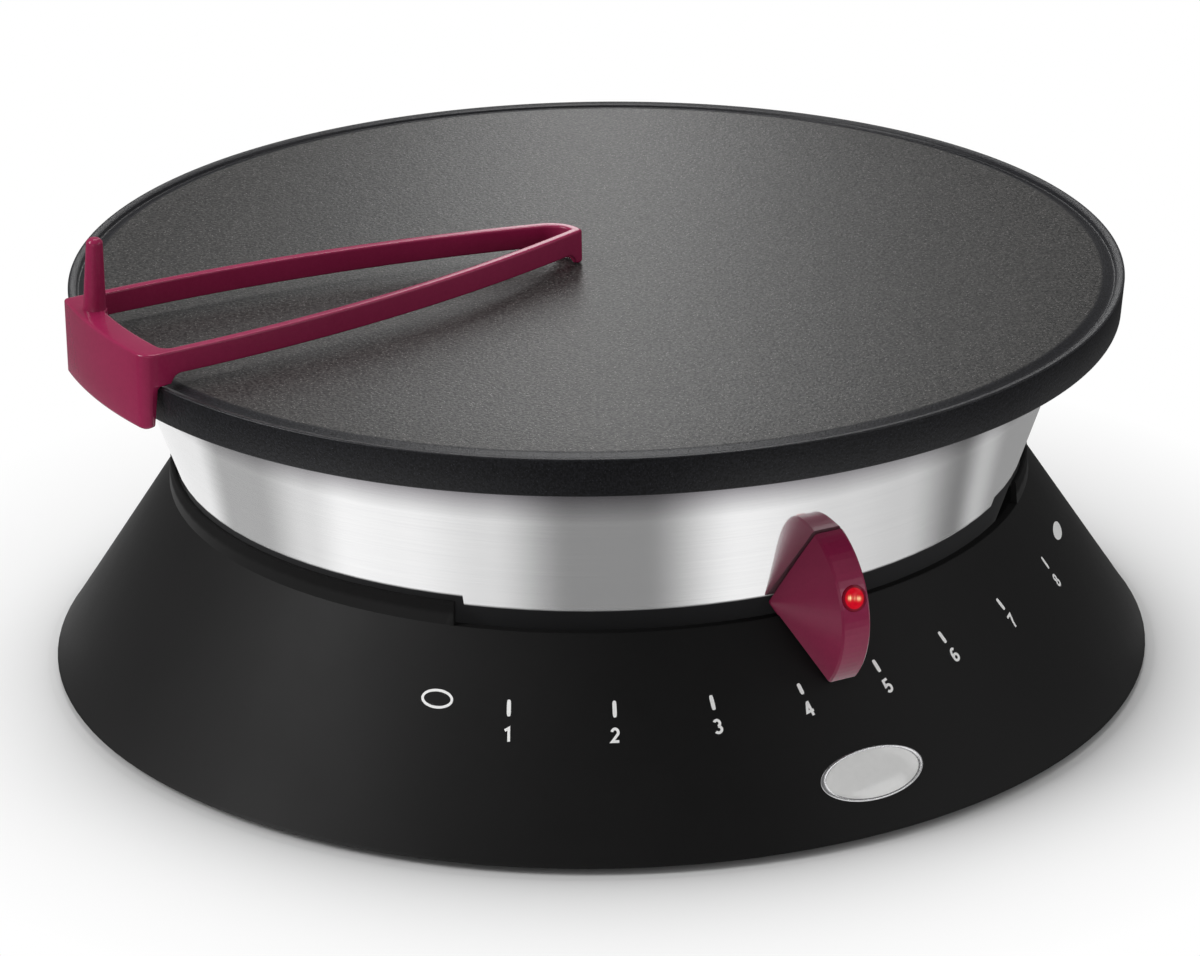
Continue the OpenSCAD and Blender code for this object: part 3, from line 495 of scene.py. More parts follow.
def bell(value, middle, half):
    """Smooth hump: 1 at the middle, and about a seventh one half-width away."""
    off = maths(tree, "DIVIDE", maths(tree, "SUBTRACT", value, middle), half)
    return maths(tree, "DIVIDE", 1.0, maths(tree, "POWER", BELL_BASE, maths(tree, "MULTIPLY", off, off)))


lobes = 0.0
for middle, half, bright in SPOTS:
    lobe = maths(tree, "MULTIPLY", bell(along_row, middle * MM, half * MM), bright)
    lobes = maths(tree, "MAXIMUM", lobe, lobes)
ribs = maths(tree, "SINE", maths(tree, "MULTIPLY", along_row, 2 * math.pi / RIB))
row = maths(tree, "MULTIPLY", lobes, bell(across_row, 0.0, SPOT_H))
spots = maths(tree, "MULTIPLY", row, maths(tree, "ADD", maths(tree, "MULTIPLY", ribs, 0.35), 0.85))
off_row = add(tree, "CombineXYZ", {0: along_row, 1: across_row}).outputs[0]
from_middle = add(tree, "VectorMath", {0: off_row}, operation="LENGTH").outputs["Value"]
seat = spread(tree, from_middle, GLOW_R, SEAT_R)
speckle = noise(tree, object_place(tree), 1500.0, 2.0)
body = mix_colours(tree, speckle, (0.3, 0.001, 0.005), (0.42, 0.002, 0.01))
tree.links.new(mix_colours(tree, seat, body, (0.16, 0.006, 0.02)), surface.inputs["Base Color"])
glow = mix_colours(tree, speckle, (0.24, 0.0008, 0.005), (0.38, 0.0015, 0.012))
lit = mix_colours(tree, spots, glow, (1.0, 0.82, 0.42))
tree.links.new(mix_colours(tree, seat, lit, (0.03, 0.0, 0.001)), surface.inputs["Emission Color"])
tree.links.new(spread(tree, speckle, 0.3, 0.7, 0.12, 0.22), surface.inputs["Roughness"])
surface.inputs["Emission Strength"].default_value = 1.12
surface.inputs["Specular IOR Level"].default_value = 0.15
wear(red_lens, "lamp_lens")
print("lens", red_lens.name)

# %% [markdown]
# ## Tools for surfaces
#
# A new piece is a grid of points worked out with numpy as one array. `skin` turns one or more
# grids into a mesh object. A grid may close on itself in either direction, and a row that
# falls in one point is a pole; merging doubles closes both without a seam.

# %% Tools for surfaces
def grid_faces(rows, columns, close_rows, close_columns):
    """Corner numbers of a grid's squares; closing a direction joins its last line to its first."""
    row = np.arange(rows if close_rows else rows - 1)[:, None]
    column = np.arange(columns if close_columns else columns - 1)[None, :]
    next_row, next_column = (row + 1) % rows, (column + 1) % columns
    corners = [row * columns + column, next_row * columns + column,
               next_row * columns + next_column, row * columns + next_column]
    return np.stack([c + 0 * (row + column) for c in corners], axis=-1).reshape(-1, 4)


def skin(name, grids, material, body, sharp=None):
    """Makes one object of (points in millimetres, close_rows, close_columns) grids."""
    points, faces, count = [], [], 0
    for grid, close_rows, close_columns in grids:
        rows, columns = grid.shape[:2]
        points.append(grid.reshape(-1, 3))
        faces.append(grid_faces(rows, columns, close_rows, close_columns) + count)
        count += rows * columns
    mesh = bpy.data.meshes.new(name)
    mesh.from_pydata((np.concatenate(points) * MM).tolist(), [], np.concatenate(faces).tolist())
    piece = bpy.data.objects.new(name, mesh)
    scene.collection.objects.link(piece)
    tidy_mesh(mesh)
    if sharp is not None:
        mesh.set_sharp_from_angle(angle=math.radians(sharp))
    mesh.materials.append(material)
    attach(piece, body)
    print(name, len(mesh.vertices), "points", len(mesh.polygons), "faces")
    return piece


def tidy_mesh(mesh):
    """Merges doubles, drops faces without area, points the rest outwards and shades them smooth."""
    work = bmesh.new()
    work.from_mesh(mesh)
    bmesh.ops.remove_doubles(work, verts=work.verts, dist=2e-6)
    bmesh.ops.dissolve_degenerate(work, edges=work.edges, dist=1e-7)
    bmesh.ops.recalc_face_normals(work, faces=work.faces)
    for face in work.faces:
        face.smooth = True
    work.to_mesh(mesh)
    work.free()


# %% [markdown]
# ## Rounded sections, turns and revolutions
#
# Three more helpers work on whole arrays. One rounds the corners of a section, one turns points
# about an axis, and one revolves a profile as a lathe would.

# %% Rounded sections, turns and revolutions
NEARLY_HALF = 0.45


def round_corners(corners, cut, steps):
    """Rounds the corners of closed sections. Each corner gives way to a short curve that leaves
    its two sides at the cut distance, or before their middle where a side is short."""
    before, after = np.roll(corners, 1, axis=1), np.roll(corners, -1, axis=1)
    pieces, ends = [], []
    for other in (before, after):
        side = other - corners
        length = np.linalg.norm(side, axis=2, keepdims=True)
        reach = np.minimum(cut, NEARLY_HALF * length)
        ends.append(corners + side * reach / np.maximum(length, 1e-9))
    for t in np.linspace(0, 1, steps):
        pieces.append((1 - t) ** 2 * ends[0] + 2 * t * (1 - t) * corners + t ** 2 * ends[1])
    rounded = np.stack(pieces, axis=2)
    return rounded.reshape(corners.shape[0], -1, corners.shape[2])


def turned(points, angle, axis="Z"):
    """Points turned by an angle in degrees about an axis through the origin."""
    return points @ np.array(Matrix.Rotation(math.radians(angle), 3, axis)).T


def revolve(profile, count=96):
    """Grid of a profile of (radius, height) turned once about the upright axis."""
    angle = np.arange(count) * 2 * math.pi / count
    radius, height = np.array(profile, float).T
    return np.stack([radius[:, None] * np.cos(angle), radius[:, None] * np.sin(angle),
                     np.broadcast_to(height[:, None], (len(profile), count))], axis=2)


print("a side gives way by at most", NEARLY_HALF, "of its length")

# %% [markdown]
# ## The plate
#
# The plate was turned on a lathe, so it is one section revolved about the axis. The cooking face rolls
# off in a soft shoulder to a groove that catches the fat. The rim's top leans inwards a little,
# so it mirrors less of the room than the face does, and its round outer edge shows as a thin
# bright line. Bosses below take the studs and the clamps.

# %% The plate
COOK_Z, GROOVE_Z, UNDER_Z = 130.0, 128.85, 122.0
SHOULDER_R, GROOVE_R = 162.3, 166.4
STUD_R, SINK = 97.0, 1
# Each kind of boss: hole's radius, boss's radius, height of its end, azimuths.
BOSSES = [(2.5, 6.0, 112.0, (60, 180, 300)), (2.0, 4.5, 113.9, (130, 210, 270, 350))]

t = np.linspace(0, 1, 14)
shoulder = np.stack([SHOULDER_R + (GROOVE_R - SHOULDER_R) * t,
                     COOK_Z - (COOK_Z - GROOVE_Z) * (0.5 - 0.5 * np.cos(math.pi * t))], axis=1)
face = [(r, COOK_Z) for r in (0, 20, 60, 100, 140)]
rim_top = [(166.75, 128.9), (167.05, 129.2), (167.2, 129.6), (167.45, 129.86), (169.1, 130.3),
           (169.4, 130.38), (169.65, 130.34), (169.86, 130.17), (169.95, 129.9), (169.96, 129.6)]
wall = [(169.04, 118.6), (168.9, 118.25), (168.6, 118.1), (164.5, 118.1), (164.3, 118.2), (163.1, 121.7),
        (162.8, UNDER_Z), (100, UNDER_Z), (0, UNDER_Z)]
plate_grids = [(revolve([*face, *shoulder, *rim_top, *wall], 360), False, True)]
for hole_r, boss_r, low_z, azimuths in BOSSES:
    boss = revolve([(hole_r, low_z), (boss_r, low_z), (boss_r, UNDER_Z + SINK), (hole_r, UNDER_Z + SINK)], 48)
    plate_grids += [(turned(boss + [0, -STUD_R, 0], azimuth), True, True) for azimuth in azimuths]
plate = skin("plate", plate_grids, coated_plate, "base", sharp=50)
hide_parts("griddle_plate")

# %% [markdown]
# ## The spreader's outline
#
# Seen from above, the spreader is a long leaf between two arcs. Its tip is a round nose that
# meets the near blade in a small corner, and its wide end is a block that follows the plate's
# rim. Every side and corner of it is an arc of a circle, and each small circle touches its two
# neighbours from inside. So its centre is where two circles meet, and the joints are smooth.

# %% The spreader's outline
LEAF_R, LEAF_HALF, LEAF_LONG = 486.4, 30.53, 154.65
LEAF_TIP = np.array([3.0, -8.87])
LEAF_TURN = 2.784
WALL = 3.3
RIM_OUT, RIM_IN = 175.4, 166.7
NOSE_MID, NOSE_R, NEAR_ROUND = np.array([11.7, 3.2]), 11.7, 5.5

slope = math.radians(LEAF_TURN)
to_local = np.array([[math.cos(slope), -math.sin(slope)], [math.sin(slope), math.cos(slope)]])
plate_mid = -LEAF_TIP @ to_local
near_mid = np.array([LEAF_LONG, LEAF_HALF - LEAF_R])
far_mid = -near_mid * [-1, 1]


def meet(a, a_r, b, b_r, side):
    """Point a_r from a and b_r from b, left (1) or right (-1) of the way from a to b."""
    way = b - a
    gap = math.hypot(*way)
    along = (gap ** 2 + a_r ** 2 - b_r ** 2) / (2 * gap)
    off = side * math.sqrt(a_r ** 2 - along ** 2)
    return a + (along * way + off * np.array([-way[1], way[0]])) / gap


def touch(big, big_r, small):
    """Point where a circle inside a big one touches it."""
    return big + (small - big) * big_r / math.hypot(*(small - big))


def arc(mid, start, end, count, ease=0.0):
    """Points of an arc, anticlockwise, without its end. Ease crowds them towards both ends."""
    t = np.arange(count) / count
    t = (1 - ease) * t + ease * (0.5 - 0.5 * np.cos(math.pi * t))
    first, last = (math.atan2(*(p - mid)[::-1]) for p in (start, end))
    angle = first + t * ((last - first) % (2 * math.pi))
    r = math.hypot(*(start - mid))
    return mid + r * np.stack([np.cos(angle), np.sin(angle)], axis=1)


print("radii of the leaf, the nose and the rim", LEAF_R, NOSE_R, RIM_OUT)


# %% [markdown]
# ## The two loops
#
# The loop below runs once round the leaf. It is called twice, for the outer edge and for the inner
# one, which lies a wall's thickness further in.

# %% The two loops
def leaf_loop(inset, rim_r, nose_r, corner_near, corner_far, corner_tip):
    """The whole closed outline, from the nose along the far blade, the rim and the near blade."""
    r = LEAF_R - inset
    nose = touch(far_mid, LEAF_R, NOSE_MID)
    nose = far_mid + (nose - far_mid) * (LEAF_R - NOSE_R) / LEAF_R
    far = meet(plate_mid, rim_r - corner_far, far_mid, r - corner_far, -1)
    near = meet(plate_mid, rim_r - corner_near, near_mid, r - corner_near, 1)
    tip = meet(nose, nose_r - corner_tip, near_mid, r - corner_tip, -1)
    joints = [touch(far_mid, r, nose), touch(far_mid, r, far), touch(plate_mid, rim_r, far),
              touch(plate_mid, rim_r, near), touch(near_mid, r, near), touch(near_mid, r, tip),
              touch(nose, nose_r, tip)]
    mids = [far_mid, far, plate_mid, near, near_mid, tip, nose]
    counts = [150, 10, 90, 18, 150, 8, 30]
    eases = [0.75, 0, 0, 0, 0.75, 0, 0]
    sides = zip(mids, joints, joints[1:] + joints[:1], counts, eases)
    return np.concatenate([arc(*side) for side in sides])


outer = leaf_loop(0.0, RIM_OUT, NOSE_R, NEAR_ROUND, 1.0, 1.2)
inner = leaf_loop(WALL, RIM_IN, NOSE_R - WALL, 4.0, 1.5, 0.9)
print("outline", outer.round(1).min(0), outer.round(1).max(0), "inner", inner.round(1).min(0))

# %% [markdown]
# ## The spreader's body
#
# The body is one section carried round the outline. The section has six corners: the
# top, the underside of the blade or block, and the wall that hooks down outside the rim. Where
# there is no hook, its two corners lie in the underside. Heights change along the outline: a
# hollow curve leads from the block down from the blades, and the tip stands on a small foot. The
# hook's lower near corner is rounded off by the height at which the wall ends there.

# %% The spreader's body
TOP_Z, BLADE_Z, BLOCK_Z, HOOK_Z, FOOT_Z = 141.3, 133.9, 130.7, 117.0, 130.3
HOOK_IN_R = 172.0
PEG_AT, PEG_R = np.array([167.9, -18.0]), 4.0
SPREADER_AZ = -89.5
FOOT_LONG, HOOK_ROUND = 3.2, 3.5
ROOT_SOFT, ON_LINE = 0.35, 0.01


def hollow(distance, drop):
    """Height of a hollow quarter circle of radius drop, which starts upright at distance 0."""
    d = np.clip(distance, 0, drop)
    return np.sqrt(drop ** 2 - (drop - d) ** 2)


def under(point):
    """Height of the underside above a point of the plan, in the leaf's own frame."""
    from_mid = np.linalg.norm(point - plate_mid, axis=-1)
    block = BLOCK_Z + hollow(RIM_IN - from_mid, BLADE_Z - BLOCK_Z)
    foot = FOOT_Z + hollow(point[..., 0] - FOOT_LONG, BLADE_Z - FOOT_Z)
    return np.minimum(block, foot)


def root_bulge(points):
    """Moves the inner edge of the block inwards round the peg's root, with soft sides."""
    local = points @ to_local.T + LEAF_TIP
    r, angle = np.hypot(*local.T), np.arctan2(local[:, 1], local[:, 0])
    peg_mid = math.hypot(*PEG_AT)
    swing = peg_mid * np.abs(np.sin(angle - math.atan2(PEG_AT[1], PEG_AT[0])))
    front = peg_mid - np.sqrt(np.maximum(PEG_R ** 2 - swing ** 2, 0.0)) + PEG_R * (swing >= PEG_R)
    pulled = -ROOT_SOFT * np.logaddexp(-r / ROOT_SOFT, -front / ROOT_SOFT)
    moved = np.where(np.abs(r - RIM_IN) < ON_LINE, pulled, r)
    local = local * (moved / r)[:, None]
    return (local - LEAF_TIP) @ to_local


print("undersides at", BLADE_Z, BLOCK_Z, FOOT_Z)

# %% [markdown]
# ## The spreader's section, carried round
#
# Where the outline runs outside the rim, a smooth step lets the last two corners sink from the
# underside to the hook's end. Elsewhere they stay in the underside, spaced evenly.

# %% The spreader's section
HOOK_FROM, HOOK_FADE = 172.5, 0.9
SHARE_LEAST, SHARE_MOST, SHARE_PLAIN, SHARE_STEP = 0.2, 0.45, 0.35, 0.2
EDGE_CUT, EDGE_POINTS = 0.9, 5

inner = root_bulge(inner)
across = inner - outer
outer_r = np.linalg.norm(outer - plate_mid, axis=1)
inner_r = np.linalg.norm(inner - plate_mid, axis=1)
hook = np.clip((outer_r - HOOK_FROM) / HOOK_FADE, 0, 1)
hook = hook * hook * (3 - 2 * hook)
share = np.clip((outer_r - HOOK_IN_R) / np.maximum(outer_r - inner_r, 1e-6), SHARE_LEAST, SHARE_MOST)
share = np.where(hook > 0, share, SHARE_PLAIN)
near_corner = meet(plate_mid, RIM_OUT - NEAR_ROUND, near_mid, LEAF_R - NEAR_ROUND, 1) - plate_mid
sideways = np.array([-near_corner[1], near_corner[0]]) / math.hypot(*near_corner)
past = np.clip((outer - plate_mid) @ sideways - NEAR_ROUND + HOOK_ROUND, 0, HOOK_ROUND)
hook_low = HOOK_Z + HOOK_ROUND - np.sqrt(HOOK_ROUND ** 2 - past ** 2)
lip_in = outer + share[:, None] * across
shelf_in = outer + (share + SHARE_STEP * (1 - hook))[:, None] * across


def level(points, z):
    """Plan points with a height."""
    return np.concatenate([points, np.broadcast_to(z, len(points))[:, None]], axis=1)


section = np.stack([
    level(outer, TOP_Z),
    level(inner, TOP_Z),
    level(inner, under(inner)),
    level(shelf_in, under(shelf_in)),
    level(lip_in, under(lip_in) * (1 - hook) + hook_low * hook),
    level(outer, under(outer) * (1 - hook) + hook_low * hook),
], axis=1)
body = round_corners(section, EDGE_CUT, EDGE_POINTS)
plan = body[..., :2] @ to_local.T + LEAF_TIP
body = np.concatenate([plan, body[..., 2:]], axis=2)
print("section", body.shape)

# %% [markdown]
# ## The spreader's peg
#
# The peg is a slim cone with a chamfered head, which leans in by three degrees. It is a profile of
# radius and height revolved about its own axis, with a soft root, and it starts inside the block
# so that the two read as one moulding.

# %% The spreader's peg
PEG_LEAN = 3.0
peg_profile = [(0, -2), (3.6, -2), (3.75, -0.3), (3.7, 0.1), (3.62, 0.6), (3.55, 1.4), (2.66, 20.9),
               (2.6, 21.5), (2.45, 21.9), (1.75, 22.6), (1.55, 22.75), (1.3, 22.8), (0, 22.8)]
peg = turned(revolve(peg_profile), -PEG_LEAN, axis="Y") + [*PEG_AT, TOP_Z]
grids = [(turned(g, SPREADER_AZ - 90), a, b) for g, a, b in ((body, True, True), (peg, False, True))]
spreader = skin("spreader", grids, plum_plastic, "spreader", sharp=50)
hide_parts("batter_spreader")

# %% [markdown]
# ## Marks laid on the cone
#
# The dial and the badge sit on the cone. Each mark is drawn flat first and then laid on it: sideways
# distance becomes a turn about the axis, and upward distance runs up the slope. A mark is a pad with
# a round outline, or a ribbon of even width. Print stands a few hundredths of a millimetre proud.

# %% Tools for the dial
FOOT_R, FOOT_AT_Z = 180.1, 2.0
CONE_TOP_R, CONE_HIGH = 140.5, 59.9
CONE_SLOPE = (FOOT_R - CONE_TOP_R) / CONE_HIGH
SLANT = math.hypot(1, CONE_SLOPE)
PRINT, PROUD = 0.05, 0.06


def on_cone(flat, azimuth, z, proud, lean=0.0):
    """Lays flat points (sideways, up, out) on the cone, about a middle at an azimuth and a height. A
    positive lean in degrees moves their upper end towards falling azimuth."""
    flat = turned(flat, lean)
    height = z + (flat[..., 1] + CONE_SLOPE * (flat[..., 2] + proud)) / SLANT
    radius = FOOT_R - CONE_SLOPE * (height - FOOT_AT_Z) + (flat[..., 2] + proud) * SLANT
    middle_r = FOOT_R - CONE_SLOPE * (z - FOOT_AT_Z)
    angle = math.radians(azimuth) + flat[..., 0] / middle_r
    return np.stack([radius * np.sin(angle), -radius * np.cos(angle), height], axis=-1)


def lozenge(half_w, half_h, power, profile, count=64):
    """Raised pad with a superellipse outline. The profile lists (share of the outline, height)."""
    angle = np.arange(count) * 2 * math.pi / count
    x = half_w * np.sign(np.cos(angle)) * np.abs(np.cos(angle)) ** (2 / power)
    y = half_h * np.sign(np.sin(angle)) * np.abs(np.sin(angle)) ** (2 / power)
    share, out = np.array(profile, float).T
    return np.stack([share[:, None] * x, share[:, None] * y,
                     np.broadcast_to(out[:, None], (len(profile), count))], axis=2)


def sweep(middle, radii, start, end, count=24):
    """Points of an ellipse's arc, from one angle to another in degrees."""
    angle = np.radians(np.linspace(start, end, count))
    return np.stack([middle[0] + radii[0] * np.cos(angle), middle[1] + radii[1] * np.sin(angle)], axis=1)


def ribbon(path, width, closed=False):
    """Flat strip of even width along a path. At each point both edges lie on the line that halves
    the bend, so far out that the strip keeps its width. Open ends are closed by a flat cap."""
    ahead = np.roll(path, -1, axis=0) - path
    if not closed:
        ahead[-1] = ahead[-2]
    across = np.stack([-ahead[:, 1], ahead[:, 0]], axis=1) / np.linalg.norm(ahead, axis=1)[:, None]
    before = np.roll(across, 1, axis=0)
    if not closed:
        before[0] = across[0]
    halving = across + before
    halving = halving * width / (2 * np.sum(halving * across, axis=1))[:, None]
    edges = [(path + halving, 0.0), (path + halving, PRINT), (path - halving, PRINT), (path - halving, 0.0)]
    strip = np.stack([level(points, out) for points, out in edges], axis=1)
    if closed:
        return strip, True, True
    caps = [np.broadcast_to(strip[end].mean(axis=0), (1, 4, 3)) for end in (0, -1)]
    return np.concatenate([caps[0], strip, caps[1]]), False, True


print("cone slope", round(CONE_SLOPE, 3))

# %% [markdown]
# ## The shapes of the numbers
#
# A number is one or two ribbons of even width along its strokes. A stroke is a run of straight
# points and arcs in a box one high, with the foot of the number at 0 and its top at 1. Drawing
# them this way keeps their edges clean at any size, where letters made bolder by an offset can tear.

# %% The shapes of the numbers
STROKES = {
    1: [([(0.1, 0.72), (0.37, 0.87), (0.37, 0.0)], False)],
    2: [(np.concatenate([sweep((0.3, 0.68), (0.2, 0.23), 170, -35), [(0.1, 0.09), (0.54, 0.09)]]), False)],
    3: [(sweep((0.29, 0.705), (0.185, 0.205), 150, -85), False),
        (sweep((0.29, 0.295), (0.215, 0.205), 85, -150), False)],
    4: [([(0.41, 0.0), (0.41, 1.0)], False), ([(0.36, 0.92), (0.1, 0.33), (0.58, 0.33)], False)],
    5: [(np.concatenate([[(0.5, 0.91), (0.17, 0.91), (0.12, 0.5)],
                         sweep((0.29, 0.32), (0.205, 0.23), 125, -150)]), False)],
    6: [(sweep((0.3, 0.31), (0.205, 0.22), 0, 360, 33)[:-1], True),
        (sweep((0.34, 0.48), (0.245, 0.43), 52, 196), False)],
    7: [(np.concatenate([[(0.07, 0.91), (0.52, 0.91)],
                         sweep((0.75, -0.02), (0.52, 0.86), 128, 178)]), False)],
    8: [(sweep((0.3, 0.725), (0.18, 0.185), 0, 360, 33)[:-1], True),
        (sweep((0.3, 0.29), (0.21, 0.2), 0, 360, 33)[:-1], True)],
}
STROKE_W, BOX_MID = 0.18, [0.3, 0.5]
print("numbers drawn", sorted(STROKES))

# %% [markdown]
# ## The printed dial
#
# White marks are pad-printed on the cone: an open ring, eight numbers with their bars, and a dot.
# They climb a little from left to right and lean with the cone, as the printer laid them.

# %% The printed dial
white_print = finish("white print", (0.9, 0.9, 0.89), (0.96, 0.96, 0.95), (0.4, 0.55),
                     moulded_grain, {"Pebbles per metre": 2600.0}, relief=0.00001)
PAD = [(0, 0), (1, 0), (1, PRINT), (0, PRINT)]
RING_AZ, RING_Z, RING_HALVES, RING_W = -47.53, 42.88, (4.7, 2.6), 0.8
DOT_AZ, DOT_Z, DOT_HALVES = 50.7, 46.15, (6.0, 2.4)
# Each bar: azimuth, height, lean, length. Each number: azimuth, height, lean.
BARS = [(-39.07, 42.27, 4, 5.1), (-27.12, 42.53, 1, 5.1), (-15.98, 42.56, 6, 4.6), (-5.38, 42.7, 14, 3.6),
        (4.93, 43.8, 16, 4.3), (15.49, 44.98, 16, 4.2), (27.31, 45.35, 16, 4.5), (41.24, 45.24, 7, 4.6)]
NUMBERS = [(-38.94, 35.7, 4), (-27.13, 35.9, 1), (-15.74, 36.39, 6), (-4.95, 37.29, 14),
           (5.5, 38.18, 16), (16.18, 39.6, 16), (27.81, 40.03, 16), (41.43, 39.51, 12)]
NUMBER_H, BAR_W = 4.7, 1.25

oval_ring, *closing = ribbon(sweep((0, 0), RING_HALVES, 0, 360, 65)[:-1], RING_W, True)
marks = [(on_cone(oval_ring, RING_AZ, RING_Z, PROUD), *closing),
         (on_cone(lozenge(*DOT_HALVES, 2.0, PAD), DOT_AZ, DOT_Z, PROUD), False, True)]
marks += [(on_cone(lozenge(BAR_W / 2, long / 2, 4.0, PAD), azimuth, z, PROUD, lean), False, True)
          for azimuth, z, lean, long in BARS]
dial = skin("dial_marks", marks, white_print, "base", sharp=30)

figures = []
for number, (azimuth, z, lean) in enumerate(NUMBERS, start=1):
    for path, closed in STROKES[number]:
        flat, *closing = ribbon((np.array(path, float) - BOX_MID) * NUMBER_H, STROKE_W * NUMBER_H, closed)
        figures.append((on_cone(flat, azimuth, z, PROUD, lean), *closing))
numbers = skin("dial_numbers", figures, white_print, "base", sharp=30)

# %% [markdown]
# ## The blank badge
#
# A small oval plate is set in the skirt below the dial. It is left bare: a domed white
# enamel face in a satin metal rim.

# %% The blank badge
BADGE_AZ, BADGE_Z, BADGE_W, BADGE_H, BADGE_PROUD = 0.4, 17.7, 18.0, 8.0, 0.02
RIM_PROFILE = [(0.9, 0.0), (1.0, 0.0), (1.0, 0.35), (0.985, 0.5), (0.96, 0.55), (0.93, 0.5), (0.9, 0.3)]
FACE_PROFILE = [(0, 0), (0.93, 0), (0.93, 0.3), (0.9, 0.38), (0.8, 0.5), (0.6, 0.64), (0.35, 0.74), (0, 0.78)]
badge_metal = finish("badge metal", (0.6, 0.6, 0.61), (0.74, 0.74, 0.75), (0.2, 0.32),
                     moulded_grain, {"Pebbles per metre": 1500.0}, relief=0.00001, Metallic=1.0)
badge_enamel = finish("badge enamel", (0.78, 0.78, 0.77), (0.86, 0.86, 0.85), (0.12, 0.22),
                      moulded_grain, {"Pebbles per metre": 500.0}, relief=0.00001, Coat_Weight=0.5)
rim = on_cone(lozenge(BADGE_W, BADGE_H, 2.0, RIM_PROFILE, 128), BADGE_AZ, BADGE_Z, BADGE_PROUD)
face = on_cone(lozenge(BADGE_W, BADGE_H, 2.0, FACE_PROFILE, 128), BADGE_AZ, BADGE_Z, BADGE_PROUD)
badge = [skin("badge_rim", [(rim, True, True)], badge_metal, "base", sharp=50),
         skin("badge_face", [(face, False, True)], badge_enamel, "base", sharp=50)]

# %% [markdown]
# ## The floor
#
# The machine stands on a pale floor in a bright room. Close by, the floor is a greyer matt paint,
# which holds the soft shadow and darkens it further, so the grey round the foot is partly real
# shadow and partly painted shade. Further out it goes over to a steady glow for whatever looks at it,
# so that it ends in white without more light. A mirror shows only what stands round it, so studios
# lay pale and grey cards about a bright piece. Here they are part of the floor's glow, for mirrors
# alone: soft sectors round the machine, which the steel band turns into its upright bars.

# %% The floor
view = scene.view_settings
view.view_transform = "Standard"
# Each card: angle from the camera's side in degrees, brightness.
CARDS = [(-165, 0.2), (-135, 0.9), (-100, 0.85), (-87, 0.4), (-75, 0.4), (-60, 0.75), (-50, 1.0), (-37, 0.95),
         (-21, 0.75), (-5, 0.25), (8, 0.25), (26, 0.95), (48, 0.7), (64, 0.6), (82, 0.2), (92, 0.5),
         (104, 0.3), (145, 0.3)]
BEHIND = 0.55
SHEET_END, DARK_FROM, DARK = 0.27, 0.38, 0.2
# Painted shade round the foot: the matt paint is greyer than the glow, which takes over between these
# distances.
SHADE_FROM, SHADE_TO, SHADE_CURVE = 0.183, 0.27, 0.5
FLOOR_SHADE, FLOOR_HALF = 0.68, 6.0


def seen(tree):
    """1 for the camera, for mirrors and for glass, and 0 for the light that spreads."""
    rays = add(tree, "LightPath").outputs
    direct = maths(tree, "MAXIMUM", rays["Is Camera Ray"], rays["Is Glossy Ray"])
    return maths(tree, "MAXIMUM", direct, rays["Is Transmission Ray"])


floor_paint = bpy.data.materials.new("floor paint")
floor_paint.use_nodes = True
tree = floor_paint.node_tree
mirrored = add(tree, "LightPath").outputs["Is Glossy Ray"]
round_share = spread(tree, angle_about_axis(tree), -math.pi, math.pi)
cards = add(tree, "ValToRGB", {0: round_share})
cards.color_ramp.interpolation = "EASE"
stops = sorted((((angle + math.degrees(TURN)) % 360 - 180) % 360 / 360, bright) for angle, bright in CARDS)
while len(cards.color_ramp.elements) > 1:
    cards.color_ramp.elements.remove(cards.color_ramp.elements[0])
stops = [(0.0, BEHIND), *stops, (1.0, BEHIND)]
for index, (position, bright) in enumerate(stops):
    element = cards.color_ramp.elements[0] if index == 0 else cards.color_ramp.elements.new(position)
    element.position = position
    element.color = colour((bright, bright, bright))
matt = add(tree, "BsdfDiffuse", {"Color": colour((FLOOR_SHADE, FLOOR_SHADE, FLOOR_SHADE))})
to_mirrors = mix_colours(tree, mirrored, (1.0, 1.0, 1.0), cards.outputs["Color"])
reach = add(tree, "VectorMath", {0: object_place(tree)}, operation="LENGTH").outputs["Value"]
dimming = spread(tree, reach, SHEET_END, DARK_FROM, 0.0, 1.0 - DARK)
strength = maths(tree, "SUBTRACT", 1.0, maths(tree, "MULTIPLY", mirrored, dimming))
glow = add(tree, "Emission", {"Color": to_mirrors, "Strength": strength})
# Painted shade: the glow fades in with distance from the axis, so the floor near the foot stays greyer.
glow_past_painted_shade = maths(tree, "POWER", spread(tree, reach, SHADE_FROM, SHADE_TO), SHADE_CURVE)
part = maths(tree, "MAXIMUM", maths(tree, "MULTIPLY", seen(tree), glow_past_painted_shade), mirrored)
blend = add(tree, "MixShader", {0: part, 1: matt.outputs[0], 2: glow.outputs[0]})
tree.links.new(blend.outputs[0], tree.nodes["Material Output"].inputs["Surface"])

corners = np.array([[-1, -1, 0], [1, -1, 0], [1, 1, 0], [-1, 1, 0]]) * FLOOR_HALF
floor_mesh = bpy.data.meshes.new("floor")
floor_mesh.from_pydata(corners.tolist(), [], [(0, 1, 2, 3)])
floor_mesh.materials.append(floor_paint)
floor = bpy.data.objects.new("floor", floor_mesh)
scene.collection.objects.link(floor)
print("cards", len(stops))

# %% [markdown]
# ## The room
#
# The camera sees the room as white. Mirrors and glass see it grey at the level of the eye and darker
# overhead, as a studio is, and it lights everything a little from all sides.

# %% The room
ROOM_LIGHT = 0.4
EYE_LEVEL, OVERHEAD = (0.02, 0.35), (0.25, 0.18)

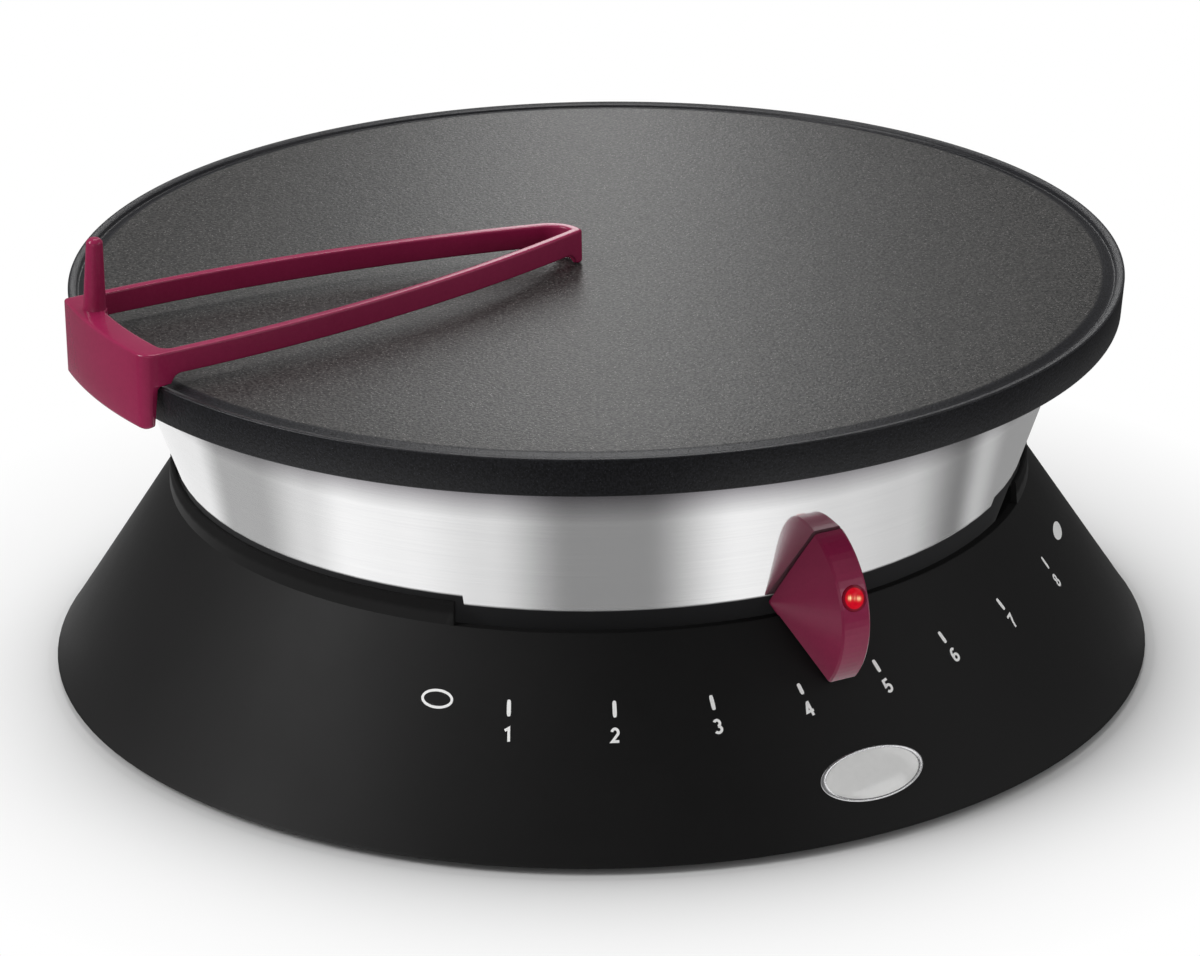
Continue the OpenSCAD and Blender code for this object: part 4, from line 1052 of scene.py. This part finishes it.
world = bpy.data.worlds.new("room")
scene.world = world
world.use_nodes = True
tree = world.node_tree
rays = add(tree, "LightPath").outputs
way_up = add(tree, "SeparateXYZ", {0: add(tree, "TexCoord").outputs["Generated"]}).outputs["Z"]
grey = spread(tree, way_up, EYE_LEVEL[0], OVERHEAD[0], EYE_LEVEL[1], OVERHEAD[1])
mirrored = maths(tree, "MAXIMUM", rays["Is Glossy Ray"], rays["Is Transmission Ray"])
for_mirrors = maths(tree, "MULTIPLY", mirrored, maths(tree, "SUBTRACT", grey, ROOM_LIGHT))
for_camera = maths(tree, "MULTIPLY", rays["Is Camera Ray"], 1.0 - ROOM_LIGHT)
strength = maths(tree, "ADD", maths(tree, "ADD", for_mirrors, for_camera), ROOM_LIGHT)
background = tree.nodes["Background"]
background.inputs["Color"].default_value = colour((1.0, 1.0, 1.0))
tree.links.new(strength, background.inputs["Strength"])
print("room light", ROOM_LIGHT)

# %% [markdown]
# ## Lamps
#
# All lamps are large and soft. The key stands at the left and gives the cone its sheen. One from
# above, a little behind, lights the floor and lays the shadow in front. A narrow one behind gives the
# plate a streak that fades to both sides. The rest light the slider's facets and fill the shadows.

# %% Lamps
def lamp(name, azimuth, elevation, distance, width, height, radiance):
    """Soft panel that faces the machine. The azimuth is counted from the camera's own side, and the
    power is what gives the panel the radiance asked for: radiance times pi times its area."""
    light = bpy.data.lights.new(name, "AREA")
    light.shape, light.size, light.size_y = "RECTANGLE", width, height
    light.energy = radiance * math.pi * width * height
    a, e = TURN + math.radians(azimuth), math.radians(elevation)
    way = Vector((math.sin(a) * math.cos(e), -math.cos(a) * math.cos(e), math.sin(e)))
    holder = bpy.data.objects.new(name, light)
    scene.collection.objects.link(holder)
    holder.location = AIM + distance * way
    holder.rotation_mode = "QUATERNION"
    holder.rotation_quaternion = way.to_track_quat("Z", "Y")


lamp("key_panel", -75, 34, 1.6, 0.6, 0.7, 10.0)
lamp("right_panel", 85, 30, 1.8, 0.7, 0.8, 1.3)
lamp("side_panel", 58, 15, 1.6, 0.5, 0.5, 2.0)
lamp("front_panel", -20, 8, 1.8, 1.0, 0.5, 0.8)
lamp("back_panel", 180, 29, 1.1, 0.14, 0.6, 3.3)
lamp("top_panel", 180, 77, 1.6, 0.75, 0.75, 7.9)

# %% [markdown]
# ## Out of the mirrors
#
# The band leans outwards, so it would mirror the black cone with its print and badge, and all that
# lies below it. On the real machine it looks bright down to the dark strip at its foot. So these
# pieces are kept out of mirrors, and the band shows the floor instead.

# %% Out of the mirrors
below = [NODES[name] for name in ("base_skirt", "bottom_cover", "rubber_feet", "cover_screws", "cord_gland")]
for hidden in (*below, dial, numbers, *badge):
    hidden.visible_glossy = False
print("kept out of mirrors", len(below) + len(badge) + 2)
